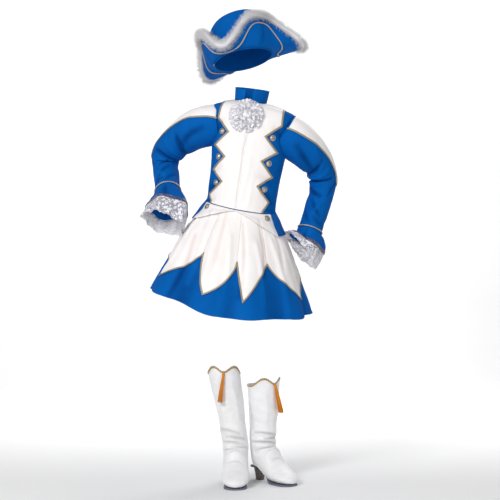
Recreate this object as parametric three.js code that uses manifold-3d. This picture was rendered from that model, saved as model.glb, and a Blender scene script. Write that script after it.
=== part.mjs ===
// A majorette costume in its worn form, with nobody in it: a tricorn hat, a jacket with a stand collar,
// a lace jabot and bell cuffs, a flared skirt with white petals, and a pair of boots with tassels.
// Millimetres, +Z up. The wearer would face -Y, and +X is the wearer's left. The origin lies between
// the tops of the shoulders, where the wearer carries the jacket.
import * as THREE from "three";
import { mergeVertices } from "three/addons/utils/BufferGeometryUtils.js";
import Module from "manifold-3d";

const wasm = await Module();
wasm.setup();

// Cloth, and the gaps between pieces
const SEAM = 0.3; // between pieces that are sewn together
const CLOTH = 1.8; // wall of the jacket, skirt, hat and boots
const SATIN = 1.2; // panels sewn on a wall
const BRAID = 1.2; // thickness of a flat braid
const LACE = 1.2;
const ON_CLOTH = SEAM;
const ON_SATIN = ON_CLOTH + SATIN + SEAM;

// How the upper body stands: it leans to the wearer's left and is turned to the wearer's right
const BODY_LEAN = 8.7;
const BODY_TURN = -9;
const WAIST_DROP = 330; // from the origin down to the middle of the waist
const WAIST_SLOPE = 0.17; // the waist and hem hang lower in front, per mm of depth
const WAIST_TILT = 0.05; // the waist drops to the wearer's left, per mm across

// Boots stand on this level
const FLOOR = -1270;

const COLOURS = {
  blue: 0x0568b6,
  white: 0xf3efeb,
  satin: 0xf0ebe7,
  fur: 0xe9e3ec,
  lace: 0xe4dfe8,
  gold: 0xb8a47c,
  cord: 0xe2bf96,
  button: 0xb3a68f,
  tassel: 0xd07508,
  sole: 0x4a4f63,
  heel: 0x6b615c,
};
const material = (colour, roughness = 0.8, metalness = 0) =>
  new THREE.MeshStandardMaterial({ color: COLOURS[colour], roughness, metalness });
const MATERIALS = {
  blue: material("blue", 0.85),
  white: material("white", 0.6),
  satin: material("satin", 0.5),
  fur: material("fur", 1),
  lace: material("lace", 0.9),
  gold: material("gold", 0.45, 0.5),
  cord: material("cord", 0.5, 0.4),
  button: material("button", 0.35, 0.9),
  tassel: material("tassel", 0.6),
  sole: material("sole", 0.6),
  heel: material("heel", 0.35),
};

const { degToRad, lerp, clamp, smoothstep } = THREE.MathUtils;
const cosine = (degrees) => Math.cos(degToRad(degrees));
const sine = (degrees) => Math.sin(degToRad(degrees));
const point = (x, y, z) => new THREE.Vector3(x, y, z);
const steps = (from, to, count) => Array.from({ length: count + 1 }, (_, i) => lerp(from, to, i / count));
const turns = (count) => steps(-180, 180, count).slice(0, -1);

// One section of a table at a place between its rows: 0 is the first row, 1 the last.
function section(table, place) {
  const at = clamp(place, 0, 1) * (table.length - 1);
  const first = Math.min(Math.floor(at), table.length - 2);
  const t = at - first;
  const [a, b, c, d] = [-1, 0, 1, 2].map((k) => table[clamp(first + k, 0, table.length - 1)]);
  const mixed = {};
  for (const key of Object.keys(b)) {
    const bend = 2 * a[key] - 5 * b[key] + 4 * c[key] - d[key];
    const twist = 3 * (b[key] - c[key]) + d[key] - a[key];
    mixed[key] = b[key] + 0.5 * t * (c[key] - a[key] + t * (bend + t * twist));
  }
  return mixed;
}

// The depth of a fold between the rows of a table of ridges and troughs, by its angle round a ring.
function foldDepth(folds, angle) {
  const turn = ((((angle - folds[0].angle) % 360) + 360) % 360) + folds[0].angle;
  const next = folds.findIndex((fold) => fold.angle > turn);
  const after = next < 0 ? { ...folds[0], angle: folds[0].angle + 360 } : folds[next];
  const before = next < 0 ? folds.at(-1) : folds[next - 1];
  const t = (turn - before.angle) / (after.angle - before.angle);
  return lerp(before.depth, after.depth, 0.5 - 0.5 * Math.cos(Math.PI * t));
}

// A manifold solid of points and triangles, turned to face out.
function solid(points, triangles) {
  const make = (faces) =>
    new wasm.Manifold(
      new wasm.Mesh({
        numProp: 3,
        vertProperties: new Float32Array(points.flatMap((p) => p.toArray())),
        triVerts: new Uint32Array(faces.flat()),
      }),
    );
  const made = make(triangles);
  return made.volume() > 0 ? made : make(triangles.map(([a, b, c]) => [a, c, b]));
}

// A manifold solid of a three.js geometry.
function solidOf(geometry) {
  geometry.deleteAttribute("normal");
  geometry.deleteAttribute("uv");
  const merged = mergeVertices(geometry, 1e-3);
  return new wasm.Manifold(
    new wasm.Mesh({
      numProp: 3,
      vertProperties: merged.attributes.position.array,
      triVerts: new Uint32Array(merged.index.array),
    }),
  );
}

// Rows of points on a surface.
const rows = (surface, us, vs) => vs.map((v) => us.map((u) => surface(u, v)));

// A ring of flat facets through rows of points. spot reads a place on them, and creases lists the angles
// at which a line, given as its place at each angle, crosses from one facet to the next.
function faceted(grid, us, vs) {
  const n = us.length;
  const at = (i, j) => grid[i][((j % n) + n) % n];
  const cell = (u, v) => {
    const run = (u - us[0]) / (us[1] - us[0]);
    const j = Math.floor(run + 1e-9);
    const next = vs.findIndex((place) => place > v);
    const i = next < 0 ? vs.length - 2 : Math.max(next - 1, 0);
    return { i, j, across: run - j, down: (v - vs[i]) / (vs[i + 1] - vs[i]) };
  };
  const spot = (u, v) => {
    const { i, j, across, down } = cell(u, v);
    const corner = across > down ? at(i, j + 1) : at(i + 1, j);
    const [first, second] = across > down ? [across, down] : [down, across];
    return at(i, j)
      .clone()
      .addScaledVector(corner.clone().sub(at(i, j)), first)
      .addScaledVector(at(i + 1, j + 1).clone().sub(corner), second);
  };
  const facet = (u, line) => {
    const { i, j, across, down } = cell(u, line(u));
    return `${i} ${j} ${across > down}`;
  };
  const creases = (line, from, to) => {
    const tries = steps(from, to, Math.ceil((to - from) / 0.5));
    return tries.slice(1).flatMap((after, k) => {
      let [low, high] = [tries[k], after];
      if (facet(low, line) === facet(high, line)) return [];
      for (let i = 0; i < 8; i++) {
        const middle = (low + high) / 2;
        if (facet(low, line) === facet(middle, line)) low = middle;
        else high = middle;
      }
      return [high];
    });
  };
  return { spot, creases };
}

// The unit normals of rows of points, to the left of their run when facing is 1.
function normals(grid, ring, facing) {
  const last = grid.length - 1;
  return grid.map((row, i) =>
    row.map((_, j) => {
      const n = row.length;
      const left = ring ? (j + n - 1) % n : Math.max(j - 1, 0);
      const right = ring ? (j + 1) % n : Math.min(j + 1, n - 1);
      const along = row[right].clone().sub(row[left]);
      const down = grid[Math.min(i + 1, last)][j].clone().sub(grid[Math.max(i - 1, 0)][j]);
      return along.cross(down).multiplyScalar(facing).normalize();
    }),
  );
}

// A closed wall between two distances from rows of points, along their normals. A ring closes on itself,
// a capped wall is closed over its last row, and a lapped one leaves out its first and last columns,
// which only give its edges the normals of the cloth round them.
function wall(grid, inner, outer, { ring = false, facing = 1, capped = false, lapped = false } = {}) {
  const out = normals(grid, ring, facing);
  const shifted = (p, i, j, distance) => p.clone().addScaledVector(out[i][j], distance);
  const moved = (distance) => grid.map((row, i) => row.map((p, j) => shifted(p, i, j, distance)));
  const layer = (distance) => moved(distance).flatMap((row) => (lapped ? row.slice(1, -1) : row));
  const count = grid.length;
  const n = grid[0].length - (lapped ? 2 : 0);
  const points = [...layer(outer), ...layer(inner)];
  const at = (side, i, j) => side * count * n + i * n + (j % n);
  const faces = [];
  const quad = (a, b, c, d) => faces.push([a, b, c], [a, c, d]);
  const spans = ring ? n : n - 1;
  for (let j = 0; j < spans; j++) {
    for (let i = 0; i < count - 1; i++) {
      quad(at(0, i, j), at(0, i, j + 1), at(0, i + 1, j + 1), at(0, i + 1, j));
      quad(at(1, i, j), at(1, i + 1, j), at(1, i + 1, j + 1), at(1, i, j + 1));
    }
    quad(at(0, 0, j), at(1, 0, j), at(1, 0, j + 1), at(0, 0, j + 1));
    if (capped) continue;
    quad(at(0, count - 1, j), at(0, count - 1, j + 1), at(1, count - 1, j + 1), at(1, count - 1, j));
  }
  if (!ring)
    for (let i = 0; i < count - 1; i++) {
      quad(at(0, i, 0), at(0, i + 1, 0), at(1, i + 1, 0), at(1, i, 0));
      quad(at(0, i, n - 1), at(1, i, n - 1), at(1, i + 1, n - 1), at(0, i + 1, n - 1));
    }
  if (capped)
    for (const side of [0, 1]) {
      const middle = point(0, 0, 0);
      for (let j = 0; j < n; j++) middle.addScaledVector(points[at(side, count - 1, j)], 1 / n);
      const tip = points.push(middle) - 1;
      for (let j = 0; j < n; j++) {
        const edge = [at(side, count - 1, j), at(side, count - 1, j + 1)];
        faces.push(side ? [tip, edge[1], edge[0]] : [tip, edge[0], edge[1]]);
      }
    }
  return solid(points, faces);
}

// A filled solid through rings of points, flat at both ends.
function filled(grid) {
  const count = grid.length;
  const n = grid[0].length;
  const points = grid.flat();
  const faces = [];
  const at = (i, j) => i * n + (j % n);
  for (let i = 0; i < count - 1; i++)
    for (let j = 0; j < n; j++)
      faces.push([at(i, j), at(i, j + 1), at(i + 1, j + 1)], [at(i, j), at(i + 1, j + 1), at(i + 1, j)]);
  for (const [row, turned] of [[0, true], [count - 1, false]]) {
    const middle = point(0, 0, 0);
    for (const p of grid[row]) middle.addScaledVector(p, 1 / n);
    const centre = points.push(middle) - 1;
    for (let j = 0; j < n; j++)
      faces.push(turned ? [centre, at(row, j + 1), at(row, j)] : [centre, at(row, j), at(row, j + 1)]);
  }
  return solid(points, faces);
}

// The two edges of a ribbon of some width along a path of flat points, mitred at its corners.
function ribbon(path, width, closed = false) {
  const n = path.length;
  const side = path.map((p, i) => {
    const before = closed ? path[(i + n - 1) % n] : path[Math.max(i - 1, 0)];
    const after = closed ? path[(i + 1) % n] : path[Math.min(i + 1, n - 1)];
    const into = p.clone().sub(before);
    const outOf = after.clone().sub(p);
    if (into.lengthSq() === 0) into.copy(outOf);
    if (outOf.lengthSq() === 0) outOf.copy(into);
    const sum = into.normalize().add(outOf.normalize()).normalize();
    const mitre = Math.min(1 / Math.max(sum.dot(outOf), 0.1), 2.2);
    return new THREE.Vector2(-sum.y, sum.x).multiplyScalar((width / 2) * mitre);
  });
  return [path.map((p, i) => p.clone().add(side[i])), path.map((p, i) => p.clone().sub(side[i]))];
}

// A cutter for the front of the upper body: an outline across and up, pushed through from behind.
function frontCutter(outline) {
  const depth = 220;
  const options = { depth, bevelEnabled: false, steps: 1 };
  const geometry = new THREE.ExtrudeGeometry(new THREE.Shape(outline), options);
  return solidOf(geometry.rotateX(Math.PI / 2));
}

const CUT_IN = -8; // how far a cutter reaches behind and before the surface that it cuts
const CUT_OUT = 12;

const costume = new THREE.Group();
const upperBody = new THREE.Group();
upperBody.rotation.set(0, degToRad(BODY_LEAN), degToRad(BODY_TURN));
costume.add(upperBody);

const SIMPLIFIED = 0.12; // how far merging nearly flat facets may move a surface

// Adds a solid to a group as a named mesh.
function addPiece(name, made, look, group) {
  const mesh = made.asOriginal().simplify(SIMPLIFIED).getMesh();
  const geometry = new THREE.BufferGeometry();
  geometry.setAttribute("position", new THREE.BufferAttribute(new Float32Array(mesh.vertProperties), 3));
  geometry.setIndex(new THREE.BufferAttribute(new Uint32Array(mesh.triVerts), 1));
  geometry.computeVertexNormals();
  const piece = new THREE.Mesh(geometry, MATERIALS[look]);
  piece.name = name;
  group.add(piece);
}

const SIDES = [
  { name: "right", sign: -1 },
  { name: "left", sign: 1 },
];

// The upper body, from the waist up to the neck. across and deep are half sizes, and shift moves a section
// to the wearer's left. slope is how much of the waist's slope a section has.
const BODY_SECTIONS = [
  { z: -330, across: 120, deep: 93, shift: 2, slope: 1 },
  { z: -310, across: 118, deep: 92, shift: 2, slope: 0.8 },
  { z: -274, across: 119, deep: 94, shift: 1, slope: 0.4 },
  { z: -232, across: 120, deep: 97, shift: 1, slope: 0.1 },
  { z: -190, across: 123, deep: 100, shift: 1, slope: 0 },
  { z: -150, across: 127, deep: 102, shift: 0, slope: 0 },
  { z: -110, across: 132, deep: 100, shift: 0, slope: 0 },
  { z: -70, across: 140, deep: 95, shift: 0, slope: 0 },
  { z: -36, across: 148, deep: 88, shift: 0, slope: 0 },
  { z: -13, across: 150, deep: 79, shift: -1, slope: 0 },
  { z: 1, across: 137, deep: 72, shift: -3, slope: 0.1 },
  { z: 11, across: 110, deep: 66, shift: -7, slope: 0.3 },
  { z: 19, across: 80, deep: 59, shift: -13, slope: 0.6 },
  { z: 25, across: 55, deep: 52, shift: -19, slope: 1 },
];
const BODY_ROWS = [0, 1, 2.5, 4.5, 6.5, 8, 9, 10, 11, 12, 13].map((row) => row / 13);

// A point of the jacket's outside. angle runs from the front, positive to the wearer's left.
function body(angle, place) {
  const s = section(BODY_SECTIONS, place);
  const x = s.shift + s.across * sine(angle);
  const y = -s.deep * cosine(angle);
  const tilt = place < 0.5 ? x * WAIST_TILT : 0;
  return point(x, y, s.z + (y * WAIST_SLOPE - tilt) * s.slope);
}

// The outside at a height and a distance from the middle of the front, with its normal.
function bodySpot(x, z) {
  let low = 0;
  let high = 1;
  for (let i = 0; i < 30; i++) {
    const middle = (low + high) / 2;
    const angle = angleAcross(x, middle);
    if (body(angle, middle).z < z) low = middle;
    else high = middle;
  }
  const v = (low + high) / 2;
  const angle = angleAcross(x, v);
  const side = body(angle + 1, v).sub(body(angle - 1, v));
  const up = body(angle, v + 0.01).sub(body(angle, v - 0.01));
  return { spot: body(angle, v), out: side.cross(up).normalize() };
}

function angleAcross(x, place) {
  const s = section(BODY_SECTIONS, place);
  return THREE.MathUtils.radToDeg(Math.asin(clamp((x - s.shift) / s.across, -1, 1)));
}

// Arms: the middle of the sleeve, its half size across the arm as seen from the front, and its half size
// in depth. part says where the cuff and the lace begin.
const ARMS = {
  right: [
    { x: -112, y: -6, z: -66, across: 68, deep: 56 },
    { x: -150, y: -4, z: -76, across: 70, deep: 60 },
    { x: -204, y: 14, z: -98, across: 67, deep: 58 },
    { x: -258, y: 52, z: -138, across: 60, deep: 54 },
    { x: -298, y: 84, z: -188, across: 53, deep: 50 },
    { x: -295, y: 84, z: -232, across: 47, deep: 48 },
    { x: -276, y: 46, z: -280, across: 44, deep: 46 },
    { x: -257, y: 4, z: -320, across: 44, deep: 46 },
    { x: -245, y: -20, z: -347, across: 58, deep: 56 },
    { x: -238, y: -42, z: -373, across: 70, deep: 66 },
    { x: -236, y: -62, z: -402, across: 72, deep: 69 },
    { x: -239, y: -79, z: -430, across: 74, deep: 70 },
  ],
  left: [
    { x: 112, y: -6, z: -62, across: 68, deep: 56 },
    { x: 150, y: 4, z: -82, across: 70, deep: 60 },
    { x: 196, y: 38, z: -112, across: 64, deep: 57 },
    { x: 232, y: 82, z: -148, across: 55, deep: 52 },
    { x: 252, y: 112, z: -192, across: 49, deep: 49 },
    { x: 252, y: 112, z: -250, across: 45, deep: 47 },
    { x: 247, y: 98, z: -314, across: 42, deep: 46 },
    { x: 239, y: 78, z: -376, across: 42, deep: 46 },
    { x: 238, y: 75, z: -400, across: 54, deep: 54 },
    { x: 235, y: 72, z: -418, across: 66, deep: 62 },
    { x: 226, y: 66, z: -434, across: 74, deep: 66 },
    { x: 215, y: 60, z: -447, across: 80, deep: 68 },
  ],
};
const LAST_ARM_ROW = ARMS.right.length - 1;
const CUFF_STARTS = 7 / LAST_ARM_ROW;
const LACE_STARTS = 9 / LAST_ARM_ROW;
const ARM_GAP = 0.0018; // along an arm's run, about the seam gap
const CUFF_WAVES = 5;
const CUFF_WAVE = 5;
const LACE_WAVES = 10;
const LACE_WAVE = 5;
// Folds across the inside of the elbow
const ELBOW_FOLDS = [
  { place: 3.2 / 11, depth: 5 },
  { place: 4 / 11, depth: 8 },
  { place: 5 / 11, depth: 6 },
];
const ELBOW_FOLD_WIDTH = 0.03;

// A point of a sleeve's outside. angle runs round it from its outer side.
function arm(side, angle, place) {
  const table = ARMS[side.name];
  const s = section(table, place);
  const before = section(table, place - 0.02);
  const after = section(table, place + 0.02);
  const along = point(after.x - before.x, after.y - before.y, after.z - before.z).normalize();
  const outer = point(0, -1, 0).cross(along).multiplyScalar(side.sign).normalize();
  const around = along.clone().cross(outer);
  const cuff = smoothstep(place, CUFF_STARTS, LACE_STARTS);
  const frill = smoothstep(place, LACE_STARTS, 1);
  const inside = Math.max(0, -cosine(angle)) ** 1.5;
  const crease = ELBOW_FOLDS.reduce(
    (sum, fold) => sum + fold.depth * Math.exp(-(((place - fold.place) / ELBOW_FOLD_WIDTH) ** 2)),
    0,
  );
  const cuffWave = cuff * CUFF_WAVE * cosine(CUFF_WAVES * angle + 40);
  const wave = cuffWave + frill * LACE_WAVE * cosine(LACE_WAVES * angle);
  const swell = wave - crease * inside;
  return point(s.x, s.y, s.z)
    .addScaledVector(outer, (s.across + swell) * cosine(angle))
    .addScaledVector(around, (s.deep + swell) * sine(angle));
}

const BODY_COLUMNS = turns(24);
const ARM_COLUMNS = turns(12);
const CUFF_COLUMNS = turns(30);
const ARM_PLACES = [0, 1, 2, 2.7, 3.2, 3.6, 4, 5, 6, 7].map((row) => row / LAST_ARM_ROW);
const RING = { ring: true };

// The jacket's back and two fronts, with holes where the sleeves go in.
const FRONT_EDGE = SEAM / 2;
const bodyRows = (us) => rows(body, us, BODY_ROWS);
const armRows = (side, places = ARM_PLACES, columns = ARM_COLUMNS) =>
  rows((u, v) => arm(side, u, v), columns, places);
const bodyFilled = filled(normalsMoved(bodyRows(BODY_COLUMNS), SEAM));
const armHollows = SIDES.map((side) => filled(normalsMoved(armRows(side), -CLOTH)));

// Rings of points moved along their normals.
function normalsMoved(grid, distance) {
  const out = normals(grid, true, 1);
  return grid.map((row, i) => row.map((p, j) => p.clone().addScaledVector(out[i][j], distance)));
}

// Large blocks that part the upper body at its side seams.
const FAR = 1600;
const slab = (centre) => solidOf(new THREE.BoxGeometry(FAR, FAR, FAR).translate(...centre));
const frontHalf = slab([0, -(FAR + SEAM) / 2, 0]);
const backHalf = slab([0, (FAR + SEAM) / 2, 0]);

function makeJacketBody() {
  const tube = wall(bodyRows(BODY_COLUMNS), -CLOTH, 0, RING);
  const worn = armHollows.reduce((left, hollow) => left.subtract(hollow), tube);
  addPiece("jacket_back", worn.intersect(backHalf), "blue", upperBody);
  for (const side of SIDES) {
    const half = slab([side.sign * (FAR / 2 + FRONT_EDGE), 0, 0]);
    addPiece(`jacket_front_${side.name}`, worn.intersect(frontHalf).intersect(half), "blue", upperBody);
  }
}

// The white front: its saw-toothed edge by its distance from the middle and its height.
const PLASTRON_EDGE = [
  { x: 96, z: 60 },
  { x: 106, z: -12 },
  { x: 108, z: -48 },
  { x: 63, z: -93 },
  { x: 106, z: -139 },
  { x: 63, z: -176 },
  { x: 101, z: -222 },
  { x: 61, z: -260 },
  { x: 101, z: -306 },
  { x: 76, z: -372 },
];
const FRONT_BRAID_WIDTH = 7;

function makePlastron() {
  const skin = (from, to) => wall(bodyRows(BODY_COLUMNS), from, to, RING);
  const satin = skin(ON_CLOTH, ON_CLOTH + SATIN);
  const trim = skin(ON_SATIN, ON_SATIN + BRAID);
  for (const side of SIDES) {
    const edge = PLASTRON_EDGE.map((p) => new THREE.Vector2(side.sign * p.x, p.z));
    const middle = side.sign * FRONT_EDGE;
    const outline = [new THREE.Vector2(middle, 60), ...edge, new THREE.Vector2(middle, -372)];
    addPiece(`plastron_${side.name}`, satin.intersect(frontCutter(outline)), "satin", upperBody);
    const [one, other] = ribbon(edge, FRONT_BRAID_WIDTH);
    const band = frontCutter([...one, ...other.reverse()]);
    addPiece(`braid_front_${side.name}`, trim.intersect(band), "gold", upperBody);
  }
}

// The collar stands round the neck in two halves and is open in front.
const COLLAR_HEIGHT = 42;
const COLLAR_OPENING = 13; // degrees from the middle of the front
const COLLAR_COLUMNS = 9;

function makeCollar() {
  const neck = BODY_SECTIONS.at(-1);
  const stand = (angle, height) => {
    const flare = 1 + 0.07 * height;
    const y = -neck.deep * flare * cosine(angle);
    const z = neck.z + y * WAIST_SLOPE + 6 * SEAM + COLLAR_HEIGHT * height;
    return point(neck.shift + neck.across * flare * sine(angle), y, z);
  };
  for (const side of SIDES) {
    const from = side.sign * COLLAR_OPENING;
    const to = side.sign * (180 - SEAM);
    const grid = rows(stand, steps(from, to, COLLAR_COLUMNS), steps(0, 1, 2));
    addPiece(`collar_${side.name}`, wall(grid, -CLOTH, 0, { facing: side.sign }), "blue", upperBody);
  }
}

const BUTTON = { radius: 10.5, rim: 1.6, dome: 4.4, sides: 9 };
const BUTTON_SPOTS = [
  { x: 86, z: -93 },
  { x: 86, z: -179 },
  { x: 84, z: -266 },
];
const BUTTON_LIFT = 0.65; // the flat back of a button over the rounded cloth

function buttonSolid(spot, out, lift) {
  const { radius, rim, dome, sides } = BUTTON;
  const profile = [
    [0, 0],
    [radius, 0],
    [radius, rim],
    [radius * 0.72, rim + dome * 0.6],
    [0, rim + dome],
  ].map(([r, h]) => new THREE.Vector2(r, h));
  const turn = new THREE.Quaternion().setFromUnitVectors(point(0, 1, 0), out);
  const place = spot.clone().addScaledVector(out, lift);
  const matrix = new THREE.Matrix4().compose(place, turn, point(1, 1, 1));
  return solidOf(new THREE.LatheGeometry(profile, sides).applyMatrix4(matrix));
}

function makeButtons() {
  for (const side of SIDES)
    BUTTON_SPOTS.forEach(({ x, z }, i) => {
      const { spot, out } = bodySpot(side.sign * x, z);
      addPiece(`button_${side.name}_${i + 1}`, buttonSolid(spot, out, BUTTON_LIFT), "button", upperBody);
    });
}

// Sleeves, and what is sewn on them.
// Along the arm, so that the flared edges of cuff and lace stay clear of each other
const LACE_GAP = { right: 2.2, left: 3.2 };

function laceStart(side) {
  const [here, beyond] = [0, 0.01].map((step) => section(ARMS[side.name], LACE_STARTS + step));
  const run = Math.hypot(beyond.x - here.x, beyond.y - here.y, beyond.z - here.z);
  return LACE_STARTS + (0.01 * LACE_GAP[side.name]) / run;
}

const PIPING = 3; // how far the cord at a sleeve's end stands out
const PIPING_LIFT = 0.8;
const SHOULDER_PETAL_TIP = 4.35 / LAST_ARM_ROW;
const SHOULDER_PETAL_WIDTH = 78; // degrees each way from the sleeve's outer side, at the shoulder
const SHOULDER_BRAID_WIDTH = 6;
const SLEEVE_AROUND = 1; // mm for each degree round a sleeve
const SLEEVE_ALONG = 620; // mm for the whole run of an arm

// Half the width of a shoulder petal in degrees, at a place along the arm.
const shoulderPetal = (place) => SHOULDER_PETAL_WIDTH * (1 - place / SHOULDER_PETAL_TIP) ** 0.62;

function makeSleeves() {
  for (const side of SIDES) {
    const on = (u, v) => arm(side, u, v);
    const sewn = (from, to) => wall(armRows(side), from, to, RING).subtract(bodyFilled);
    addPiece(`sleeve_${side.name}`, sewn(-CLOTH, 0), "blue", upperBody);
    const places = steps(0, SHOULDER_PETAL_TIP * 0.995, 5);
    const petal = places.map((v) => steps(-1, 1, 4).map((t) => on(t * shoulderPetal(v), v)));
    const satin = sewn(ON_CLOTH, ON_CLOTH + SATIN).intersect(wall(petal, CUT_IN, CUT_OUT));
    addPiece(`sleeve_petal_${side.name}`, satin, "satin", upperBody);
    const path = [...steps(0, 1, 6), ...steps(1, 0, 6).slice(1)].map((t, i) => {
      const v = t * SHOULDER_PETAL_TIP;
      const way = i > 6 ? 1 : -1;
      const half = shoulderPetal(Math.min(v, SHOULDER_PETAL_TIP));
      return new THREE.Vector2(way * half * SLEEVE_AROUND, v * SLEEVE_ALONG);
    });
    const edges = ribbon(path, SHOULDER_BRAID_WIDTH);
    const onSleeve = (p) => on(p.x / SLEEVE_AROUND, Math.max(p.y / SLEEVE_ALONG, 0));
    const strip = edges.map((edge) => edge.map(onSleeve));
    const braid = sewn(ON_SATIN, ON_SATIN + BRAID).intersect(wall(strip, CUT_IN, CUT_OUT));
    addPiece(`sleeve_braid_${side.name}`, braid, "gold", upperBody);
    const end = [CUFF_STARTS - 0.008, CUFF_STARTS];
    const piping = wall(armRows(side, end), PIPING_LIFT, PIPING, RING);
    addPiece(`cuff_piping_${side.name}`, piping, "cord", upperBody);
    const cuff = steps(CUFF_STARTS + ARM_GAP, LACE_STARTS, 2);
    const cuffWall = wall(armRows(side, cuff, CUFF_COLUMNS), -CLOTH, 0, RING);
    addPiece(`cuff_${side.name}`, cuffWall, "blue", upperBody);
    const lace = [laceStart(side), 1];
    const laceWall = wall(armRows(side, lace, CUFF_COLUMNS), -LACE, 0, RING);
    addPiece(`cuff_lace_${side.name}`, laceWall, "lace", upperBody);
  }
}

// The jabot: three frilled rounds of lace on one knot.
const JABOT = { x: -11, z: -34, tilt: 8, lift: 9, knot: 9 };
const JABOT_ROUNDS = [
  { radius: 57, waves: 9, wave: 4, height: 3, columns: 27 },
  { radius: 43, waves: 8, wave: 3.5, height: 11, columns: 24 },
  { radius: 27, waves: 7, wave: 3, height: 18, columns: 21 },
];

function makeJabot() {
  const { spot } = bodySpot(JABOT.x, JABOT.z);
  const out = point(0, -cosine(JABOT.tilt), sine(JABOT.tilt));
  const across = point(1, 0, 0);
  const up = across.clone().cross(out).multiplyScalar(-1);
  const place = (u, r, h) =>
    spot
      .clone()
      .addScaledVector(out, JABOT.lift + h)
      .addScaledVector(across, r * sine(u))
      .addScaledVector(up, r * cosine(u));
  const rounds = JABOT_ROUNDS.map(({ radius, waves, wave, height, columns }) => {
    const frill = (u, t) => {
      const scallop = 1 + 0.04 * cosine(2 * waves * u);
      const lift = height + wave * t * cosine(waves * u) - 2 * t * t;
      return place(u, radius * t * (t > 0.9 ? scallop : 1), lift);
    };
    return wall(rows(frill, turns(columns), [0.12, 1]), -LACE / 2, LACE / 2, RING);
  });
  const back = -JABOT.lift + ON_CLOTH + SATIN + 1;
  const knot = filled(rows((u, h) => place(u, JABOT.knot, h), turns(9), [back, 22]));
  addPiece("jabot", rounds.reduce((whole, round) => whole.add(round), knot), "lace", upperBody);
}

// The skirt, from the waist down. across is half of its width, front and back are its depths.
const SKIRT_SECTIONS = [
  { drop: 1, across: 118, front: 91, back: 91 },
  { drop: 48, across: 140, front: 110, back: 112 },
  { drop: 95, across: 168, front: 136, back: 141 },
  { drop: 142, across: 191, front: 158, back: 168 },
  { drop: 188, across: 211, front: 177, back: 190 },
  { drop: 235, across: 233, front: 196, back: 213 },
  { drop: 282, across: 255, front: 214, back: 234 },
  { drop: 327, across: 273, front: 230, back: 252 },
];
// Ridges and troughs of the cloth round the hem, by their angle from the middle of the front
const SKIRT_FOLDS = [
  { angle: -157.5, depth: -10 },
  { angle: -142.5, depth: 13 },
  { angle: -120, depth: -11 },
  { angle: -97.5, depth: 10 },
  { angle: -75, depth: -8 },
  { angle: -52.5, depth: 13 },
  { angle: -30, depth: -13 },
  { angle: -7.5, depth: 9 },
  { angle: 7.5, depth: -10 },
  { angle: 22.5, depth: 14 },
  { angle: 45, depth: -11 },
  { angle: 67.5, depth: 11 },
  { angle: 82.5, depth: -9 },
  { angle: 97.5, depth: 11 },
  { angle: 120, depth: -12 },
  { angle: 142.5, depth: 10 },
  { angle: 157.5, depth: -9 },
  { angle: 180, depth: 13 },
];
const SKIRT_SHIFT = 12; // the hem swings to the wearer's left

// The hem is shorter at the wearer's right, and dips before it
const HEM_LIFT = [
  { angle: -50, width: 30, rise: 20 },
  { angle: 4, width: 16, rise: -9 },
];

// A point of the skirt's outside. place is 0 at the waist and 1 at the hem.
function skirt(angle, place) {
  const s = section(SKIRT_SECTIONS, place);
  const waist = section(BODY_SECTIONS, 0);
  const fold = foldDepth(SKIRT_FOLDS, angle) * place ** 1.3;
  const forward = cosine(angle);
  const deep = (forward > 0 ? s.front : s.back) + fold;
  const y = -deep * forward;
  const x = waist.shift + SKIRT_SHIFT * place + (s.across + fold) * sine(angle);
  const tilt = x * WAIST_TILT * (1 - place);
  const turn = angle > 180 ? angle - 360 : angle;
  const riseOf = (hill) => hill.rise * Math.exp(-(((turn - hill.angle) / hill.width) ** 2));
  const lifted = HEM_LIFT.reduce((sum, hill) => sum + riseOf(hill), 0);
  return point(x, y, -WAIST_DROP - s.drop + y * WAIST_SLOPE - tilt + lifted * place);
}

const DOWN_RING = { ring: true, facing: -1 };
const SKIRT_COLUMNS = turns(48);
const SKIRT_ROWS = [0, 1, 3, 7].map((row) => row / (SKIRT_SECTIONS.length - 1));
const skirtGrid = rows(skirt, SKIRT_COLUMNS, SKIRT_ROWS);
const skirtFacets = faceted(skirtGrid, SKIRT_COLUMNS, SKIRT_ROWS);

// Petals, by the angles where they start, point and end
const PETALS = [
  { start: -95, tip: -62, end: -24, bulge: 0.75 },
  { start: -24, tip: -12, end: 11, bulge: 0.62 },
  { start: 11, tip: 18, end: 42, bulge: 1.1 },
  { start: 42, tip: 80, end: 105, bulge: 0.8 },
  { start: 105, tip: 125, end: 145, bulge: 0.75 },
  { start: 145, tip: 165, end: 185, bulge: 0.75 },
  { start: 185, tip: 205, end: 225, bulge: 0.75 },
  { start: 225, tip: 245, end: 265, bulge: 0.75 },
];
const PETAL_TOP = 0.012;
const PETAL_VALLEY = 0.48;
const PETAL_TIP = 0.835;
const PETAL_BRAID_WIDTH = 5.5;
const BRAID_LIFT = 1.1; // the braid runs slantwise over the creases, so it lies a little higher
const SKIRT_AROUND = 3.6; // mm for each degree round the skirt, where the petals end
const SKIRT_ALONG = 345; // mm from the waist to the hem

// How far down a petal reaches at an angle.
function petalEdge(petal, angle) {
  const side = angle < petal.tip ? petal.start : petal.end;
  const t = clamp((angle - side) / (petal.tip - side), 0, 1);
  return lerp(PETAL_VALLEY, PETAL_TIP, t ** petal.bulge);
}

function makeSkirt() {
  const cloth = wall(skirtGrid, -CLOTH, 0, DOWN_RING);
  addPiece("skirt_front", cloth.intersect(frontHalf), "blue", upperBody);
  addPiece("skirt_back", cloth.intersect(backHalf), "blue", upperBody);
  const band = rows(body, BODY_COLUMNS, steps(0, 0.8, 1).map((k) => k / (BODY_SECTIONS.length - 1)));
  addPiece("waistband", wall(band, -2 * CLOTH - SEAM, -CLOTH - SEAM, RING), "white", upperBody);
}

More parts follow.
